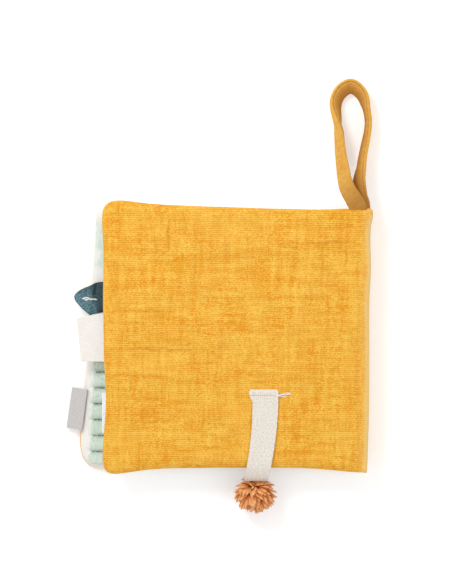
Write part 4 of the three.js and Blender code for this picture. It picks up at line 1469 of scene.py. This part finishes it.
def taperCream(places, values):
    outShare = -places[:, 0] / values["length"]
    tailShare = -places[:, 1] / values["width"]
    places[:, 0] += values["endTaper"] * outShare * tailShare
    places[:, 1] -= values["headTaper"] * outShare * (1 - tailShare)
    places[:, 1] += (softNoise(outShare * 3, tailShare * 3, 131) - 0.5) * values["edgeWave"]
    return places


def turnLabel(places, values):
    x, z = turned(places[:, 0], places[:, 2], math.radians(values["droop"]))
    x, y = turned(x, places[:, 1] + values["width"] / 2, -math.radians(values["turn"]))
    return np.column_stack([x, y, z])


foldedTabs = {
    "cream_folded_tab": {
        "node": "cream_tab", "body": "cream_tab", "slot": "brushed_tape", "material": brushedTape,
        "place": (-63.082, -9.974, 14.3), "length": 18.3 * mm, "width": 28.4 * mm, "gap": 0.45 * mm,
        "thickness": 0.75 * mm, "wave": 0.3 * mm, "shape": taperCream, "endTaper": 2.4 * mm,
        "headTaper": 3.6 * mm, "edgeWave": 0.6 * mm},
    "woven_side_label": {
        "node": "side_label", "body": "side_label", "slot": "woven_label", "material": wovenLabel,
        "place": (-76.9, -65.8, 5.938), "length": 9.8 * mm, "width": 23.4 * mm, "gap": 0.35 * mm,
        "thickness": 0.4 * mm, "wave": 0.15 * mm, "shape": turnLabel, "droop": 24, "turn": 7.8},
    "white_care_label": {
        "node": "care_label", "body": "leaf_2", "slot": "satin_label", "material": satinLabel,
        "place": (-63.15, -56.2, 14.3), "length": 3.9 * mm, "width": 22.7 * mm, "gap": 0.12 * mm,
        "thickness": 0.22 * mm, "wave": 0.1 * mm},
}


def addFoldedTab(name, values):  # open end at x = 0, fold at x = -length
    length, width, thickness = values["length"], values["width"], values["thickness"]
    layer = (values["gap"] + thickness) / 2
    bend = -length + layer + thickness / 2
    straight = np.linspace(0, bend, 16)
    arc = np.linspace(np.pi / 2, np.pi * 3 / 2, 7)[1:-1]
    route = [(x, layer) for x in straight] + [(bend + layer * math.cos(a), layer * math.sin(a)) for a in arc]
    route = np.array(route + [(x, -layer) for x in straight[::-1]])
    steps = lengthsAlong(route)[-1]
    piece, u, v = addGrid(name, len(route) - 1, 30)
    x, z = route[np.rint(u * (len(route) - 1)).astype(int)].T
    y = -width * (1 - v)
    places = np.column_stack([x, y, z + waver(x, y, 6, 7, 111) * values["wave"]])
    if "shape" in values:
        places = values["shape"](places, values)
    setPlaces(piece, places + np.array(values["place"]) * mm)
    scaleUv(piece, steps, width)
    thicken(piece, thickness, thickness * 0.3)
    dress(piece, values["material"], [values["node"]], values["body"])
    print(name, "ready")


for name, values in foldedTabs.items():
    addFoldedTab(name, values)


# sewing: the stitches that hold the tail, their loose end, and the binding of the spread

threadValues = {
    "tailStitches": 9,
    "firstStitch": 22.49 * mm,
    "looseRoutes": (
        ((31.5, -57.4, 25.3), (33.2, -57.3, 25.0), (35.2, -56.9, 24.1),
         (37.4, -57.2, 23.95), (39.9, -56.6, 24.1)),
        ((31.5, -57.6, 25.25), (33.4, -57.8, 24.9), (35.0, -57.9, 24.05),
         (36.6, -58.4, 23.95), (37.3, -58.6, 24.0)),
        ((33.0, -57.3, 25.0), (34.8, -57.1, 24.3), (37.0, -56.4, 24.1),
         (39.0, -56.2, 24.2), (40.4, -57.0, 24.15)),
    ),
    "looseRadius": 0.33 * mm,
    "bindingRow": (-93.0, 41.0, 7.2),  # first and last y and pitch, in millimetres
    "bindingInset": 2.8 * mm,
    "bindingHeight": 11.85 * mm,
    "bindingSize": (5.2 * mm, 0.8 * mm),
    "tailSize": (0.95 * mm, 0.34 * mm),
    "tailHeight": 25.2 * mm,
}

count = threadValues["tailStitches"]
tailRow = [(threadValues["firstStitch"] + tailValues["stitchPitch"] * i, tailValues["stitchLine"],
            threadValues["tailHeight"]) for i in range(count)]
tailWays = [(1, 0.06 * (-1) ** i) for i in range(count)]
addStitches("tail_stitches", tailRow, tailWays, *threadValues["tailSize"], "back_cover", "tail_stitching")


def addLooseThread():
    made = []
    for route in threadValues["looseRoutes"]:
        points = curveThrough(np.array(route) * mm, 16)
        section = np.array([(0.5 * math.cos(a), 0.5 * math.sin(a)) for a in np.arange(6) * math.pi / 3])
        upward = np.tile(np.array([0.0, 0.0, 1.0]), (len(points), 1))
        thickness = 2 * threadValues["looseRadius"]
        widths = thickness * np.linspace(1, 0.6, len(points))
        made.append(sweptStrap("loose_thread", points, upward, widths, thickness, section)[0])
        closeEnds(made[-1])
    dress(joined(made, "loose_thread"), whiteThread, (), "back_cover", degrees=80)


addLooseThread()
bindingRow = [(foldLine(y) - threadValues["bindingInset"], y, threadValues["bindingHeight"])
              for y in np.arange(*threadValues["bindingRow"]) * mm]
bindingWays = [(foldLineValues["slant"], 1)] * len(bindingRow)
addStitches("binding_stitches", bindingRow, bindingWays, *threadValues["bindingSize"], "leaf_1",
            "binding_stitch")
print("sewing ready")
